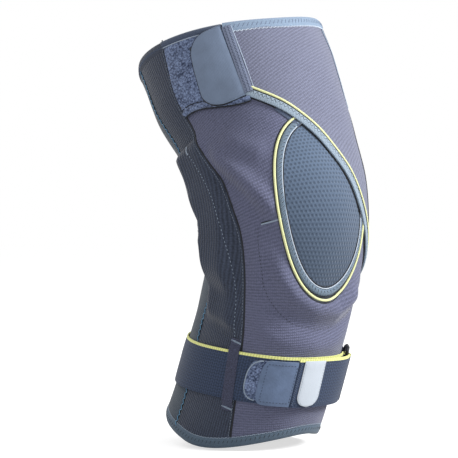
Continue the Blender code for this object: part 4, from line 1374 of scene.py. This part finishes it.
def strap_closure():
    """The strap's loop patch, and the hook tab that closes on it."""
    angles = np.linspace(-54, 0, 60)
    strap("strap_loop_patch", angles, STRAP_LOW + STRAP_THICK + 0.1, "loop", "calf", 15.8, 1.0, rows=14,
          start_round=10, middle=lambda a: strap_middle(a) - 0.6, crown=0.5, replaces=("strap_loop_patch",))
    round_end = np.linspace(-math.pi / 2, math.pi / 2, 40)
    angle = -44.4 - 9.8 * np.cos(round_end)
    off = 15.6 * np.sign(round_end) * np.abs(np.sin(round_end)) ** 0.75
    line = Line(angle, strap_middle(angle) - 0.6 + off, STRAP_LOW + STRAP_THICK + 1.0)
    tube("strap_loop_rim", line, "grey_line", "calf", thick=0.9, sides=6)
    angles = np.linspace(-42, -22, 14)
    strap("strap_tab_hook_field", angles, 5.05, "hooks", "strap_tab", 15, 0.6, start_round=6,
          replaces=("strap_tab_hook_field",))
    angles = -44.5 + 24.3 * np.linspace(0, 1, 30) ** 1.6
    strap("strap_hook_tab", angles, 5.75, "strap_tab", "strap_tab", 17.6, 1.2, start_round=8,
          middle=lambda a: strap_middle(a) - 1.1, replaces=("strap_hook_tab",))


def strap_tag():
    """The blank cloth tag, with its lower end rounded."""
    share = np.linspace(0, 1, 24)
    offset = -18.5 + 36.5 * share
    half = 8.7 * rounded(share / 0.25, 2.0)
    across = np.linspace(-1, 1, 11)
    angle = TAG_ANGLE + across[None] * half[:, None]
    along = strap_middle(angle) + offset[:, None]
    lift = tail_low(angle) + STRAP_THICK + 0.02
    made = cloth("strap_tag", angle, along, lift, lift + 0.7, "tag", weld=True)
    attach(made, "strap_tail")
    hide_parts("strap_tag")
    rim_share = np.linspace(0.02, 1, 40)
    rim_half = 7.8 * rounded(rim_share / 0.25, 2.0)
    for word, side in (("left", -1), ("right", 1)):
        angle = TAG_ANGLE + side * rim_half
        along = strap_middle(angle) - 17.3 + 34.5 * rim_share
        line = Line(angle, along, lambda a, s: tail_low(a) + STRAP_THICK + 0.72)
        stitches(f"strap_tag_{word}_thread", line, "light_thread", "strap_tail", pitch=2.2, length=1.3,
                 thick=0.35, rise=0.0)


def strap_stitches():
    for word, side in (("low", -1), ("high", 1)):
        angle = np.linspace(-18, 30, 40)
        line = Line(angle, strap_middle(angle) + side * 15.2, tail_face)
        stitches(f"strap_tail_{word}_thread", line, "slate_thread", "strap_tail", pitch=2.8, length=1.6,
                 thick=0.45, rise=0.0)
        angle = np.linspace(-41, -21.5, 24)
        line = Line(angle, strap_middle(angle) - 1.1 + side * 14.8, 6.95)
        stitches(f"strap_tab_{word}_thread", line, "navy_thread", "strap_tab", pitch=2.4, length=1.4,
                 thick=0.45, rise=0.0)
    for word, column in (("tip", -41.0), ("join", -21.0)):
        along = np.linspace(-14.6, 14.6, 20) + float(strap_middle(column)) - 1.1
        line = Line(column + 0 * along, along, 6.97)
        stitches(f"strap_tab_{word}_thread", line, "navy_thread", "strap_tab", pitch=2.4, length=1.4,
                 thick=0.45, rise=0.0)
    along = np.linspace(-17, 17, 20) + float(strap_middle(-18.5))
    line = Line(-18.5 + 0 * along, along, tail_face)
    zigzag("strap_tail_join_thread", line, "slate_thread", "strap_tail", pitch=1.6, width=1.8, thick=0.45)
    angle = np.linspace(-53, -1, 50)
    for word, side in (("low", -1), ("high", 1)):
        line = Line(angle, strap_middle(angle) + side * 12.0, STRAP_LOW + STRAP_THICK + 0.75)
        zigzag(f"strap_loop_{word}_thread", line, "slate_thread", "calf", pitch=2.2, width=1.4, thick=0.45)


def keeper():
    outer = RING_BAR + 0.5 + 1.0
    middle = float(strap_middle(STRAP_TURN_ANGLE))
    turn_angles, turn_lifts = turn_round(KEEPER_ANGLE, KEEPER_LIFT, outer, -math.pi, -1)
    over = np.array([(62, -1.2), (59, -0.9), (56, -0.4), (52, 0.0)])
    angles = np.concatenate([over[:, 0], turn_angles, [52, 56, 62]])
    lifts = np.concatenate([KEEPER_LIFT + outer + over[:, 1], turn_lifts, [KEEPER_LIFT - outer] * 3])
    strap("ring_keeper_loop", angles, lifts, "strap", "calf", 16, 1.0, middle=lambda a: middle + 0 * a,
          replaces=("ring_keeper_loop",))
    for n, column in enumerate((58.0, 60.5)):
        along = np.linspace(-14, 14, 16) + middle
        line = Line(column + 0 * along, along, KEEPER_LIFT + outer - 0.75)
        zigzag(f"keeper_thread_{n}", line, "light_thread", "calf", pitch=1.4, width=1.6, thick=0.45)


def loop_angle(along):
    """The angle of a belt loop's middle, on the medial side."""
    return 66.5 + 0.12 * (along + 105)


def belt_loops():
    low, high, ramp = -133.0, -78.0, 5.0

    def lift(angle, along):
        end = np.minimum(along - low, high - along)
        return 1.75 + 2.4 * smooth((end - 3) / ramp)

    for side, sign in SIDES:
        along = np.linspace(low, high, 60)
        line = Line(sign * loop_angle(along), along, lift)
        ribbon(f"{side}_belt_loop", line, "dark_tape", "calf", 8.6, 1.1, rows=7, crown=0.3, step=1.4,
               replaces=(f"{side}_belt_loop",))
        for word, spot in (("low", low + 2.2), ("high", high - 2.2)):
            middle = sign * loop_angle(spot)
            bartack(f"{side}_belt_loop_{word}_bartack", middle, spot, 2.9, 0, 9.4, "grey_line", "calf", 1.8)


# ---------------------------------------------------------------- metal parts, stage, light and camera

# How brightly the floor and the world light the object, and how much brighter the camera sees them.
FLOOR_SEEN_EXTRA, FLOOR_LIGHT = 0.66, 0.0
WORLD_SEEN_EXTRA, WORLD_LIGHT = 0.32, 0.68


def finish_hard_parts():
    for name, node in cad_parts.items():
        look = None
        if "_arm" in name or "_plate" in name or "_rivet" in name:
            look = "metal"
        if name == "strap_ring":
            look = "ring"
        if look:
            for slot in node.material_slots:
                slot.material = LOOK[look]


def seen_level(tree, socket, extra, base):
    """Gives a socket its base value, and that much more where the camera sees it directly."""
    seen = tree.nodes.new("ShaderNodeLightPath").outputs["Is Camera Ray"]
    level = tree.nodes.new("ShaderNodeMath")
    level.operation = "MULTIPLY_ADD"
    level.inputs[1].default_value = extra
    level.inputs[2].default_value = base
    tree.links.new(seen, level.inputs[0])
    tree.links.new(level.outputs[0], socket)


def stage():
    """A plain pale floor under the object."""
    lowest = CAD_BOX[0][2] - 0.002
    material = bpy.data.materials.new("pale_floor")
    material.use_nodes = True
    shader = material.node_tree.nodes["Principled BSDF"]
    shader.inputs["Base Color"].default_value = (0.5, 0.5, 0.5, 1)
    shader.inputs["Roughness"].default_value = 0.95
    shader.inputs["Specular IOR Level"].default_value = 0.0
    shader.inputs["Emission Color"].default_value = (1, 1, 1, 1)
    seen_level(material.node_tree, shader.inputs["Emission Strength"], FLOOR_SEEN_EXTRA, FLOOR_LIGHT)
    data = bpy.data.meshes.new("floor")
    reach = 12.0
    data.from_pydata([(-reach, -reach, lowest), (reach, -reach, lowest), (reach, reach, lowest),
                      (-reach, reach, lowest)], [], [(0, 1, 2, 3)])
    data.materials.append(material)
    floor = bpy.data.objects.new("floor", data)
    bpy.context.scene.collection.objects.link(floor)


def aim(item, target):
    way = Vector(target) - item.location
    item.rotation_euler = way.to_track_quat("-Z", "Y").to_euler()


def area_light(name, spot, size, watts):
    """A round lamp aimed at the knee."""
    data = bpy.data.lights.new(name, "AREA")
    data.shape = "DISK"
    data.size = size
    data.energy = watts
    lamp = bpy.data.objects.new(name, data)
    lamp.location = spot
    bpy.context.scene.collection.objects.link(lamp)
    aim(lamp, (0, 0, 0))


def light():
    world = bpy.data.worlds.new("studio")
    bpy.context.scene.world = world
    world.use_nodes = True
    back = world.node_tree.nodes["Background"]
    back.inputs["Color"].default_value = (1.0, 1.0, 1.0, 1)
    seen_level(world.node_tree, back.inputs["Strength"], WORLD_SEEN_EXTRA, WORLD_LIGHT)
    area_light("key", (0.85, -1.5, 1.0), 0.7, 54)
    area_light("fill", (-1.8, -0.7, 0.7), 1.2, 6)
    area_light("back", (0.3, 1.9, 1.3), 1.0, 16)
    bpy.context.scene.view_settings.view_transform = "Standard"


def camera():
    """From the outer front of the knee, level with it."""
    azimuth, distance = math.radians(-42), 1.2967
    to_left, down = 0.044, 0.0007
    right = Vector((math.cos(azimuth), math.sin(azimuth), 0))
    forward = Vector((-math.sin(azimuth), math.cos(azimuth), 0))
    data = bpy.data.cameras.new("camera")
    data.lens = 135
    data.sensor_width = 36
    made = bpy.data.objects.new("camera", data)
    made.location = -forward * distance - right * to_left - Vector((0, 0, down))
    bpy.context.scene.collection.objects.link(made)
    aim(made, made.location + forward)
    bpy.context.scene.camera = made


front_panel()
side_panels()
back_panel()
bindings()
panel_seams()
pad_stitches()
kneecap()
oval_edges()
wrap()
wrap_borders()
wrap_top()
medial_tape()
thigh_closure()
wrap_tab()
wrap_strip()
calf_strap()
strap_closure()
strap_tag()
strap_stitches()
keeper()
belt_loops()
finish_hard_parts()
stage()
light()
camera()
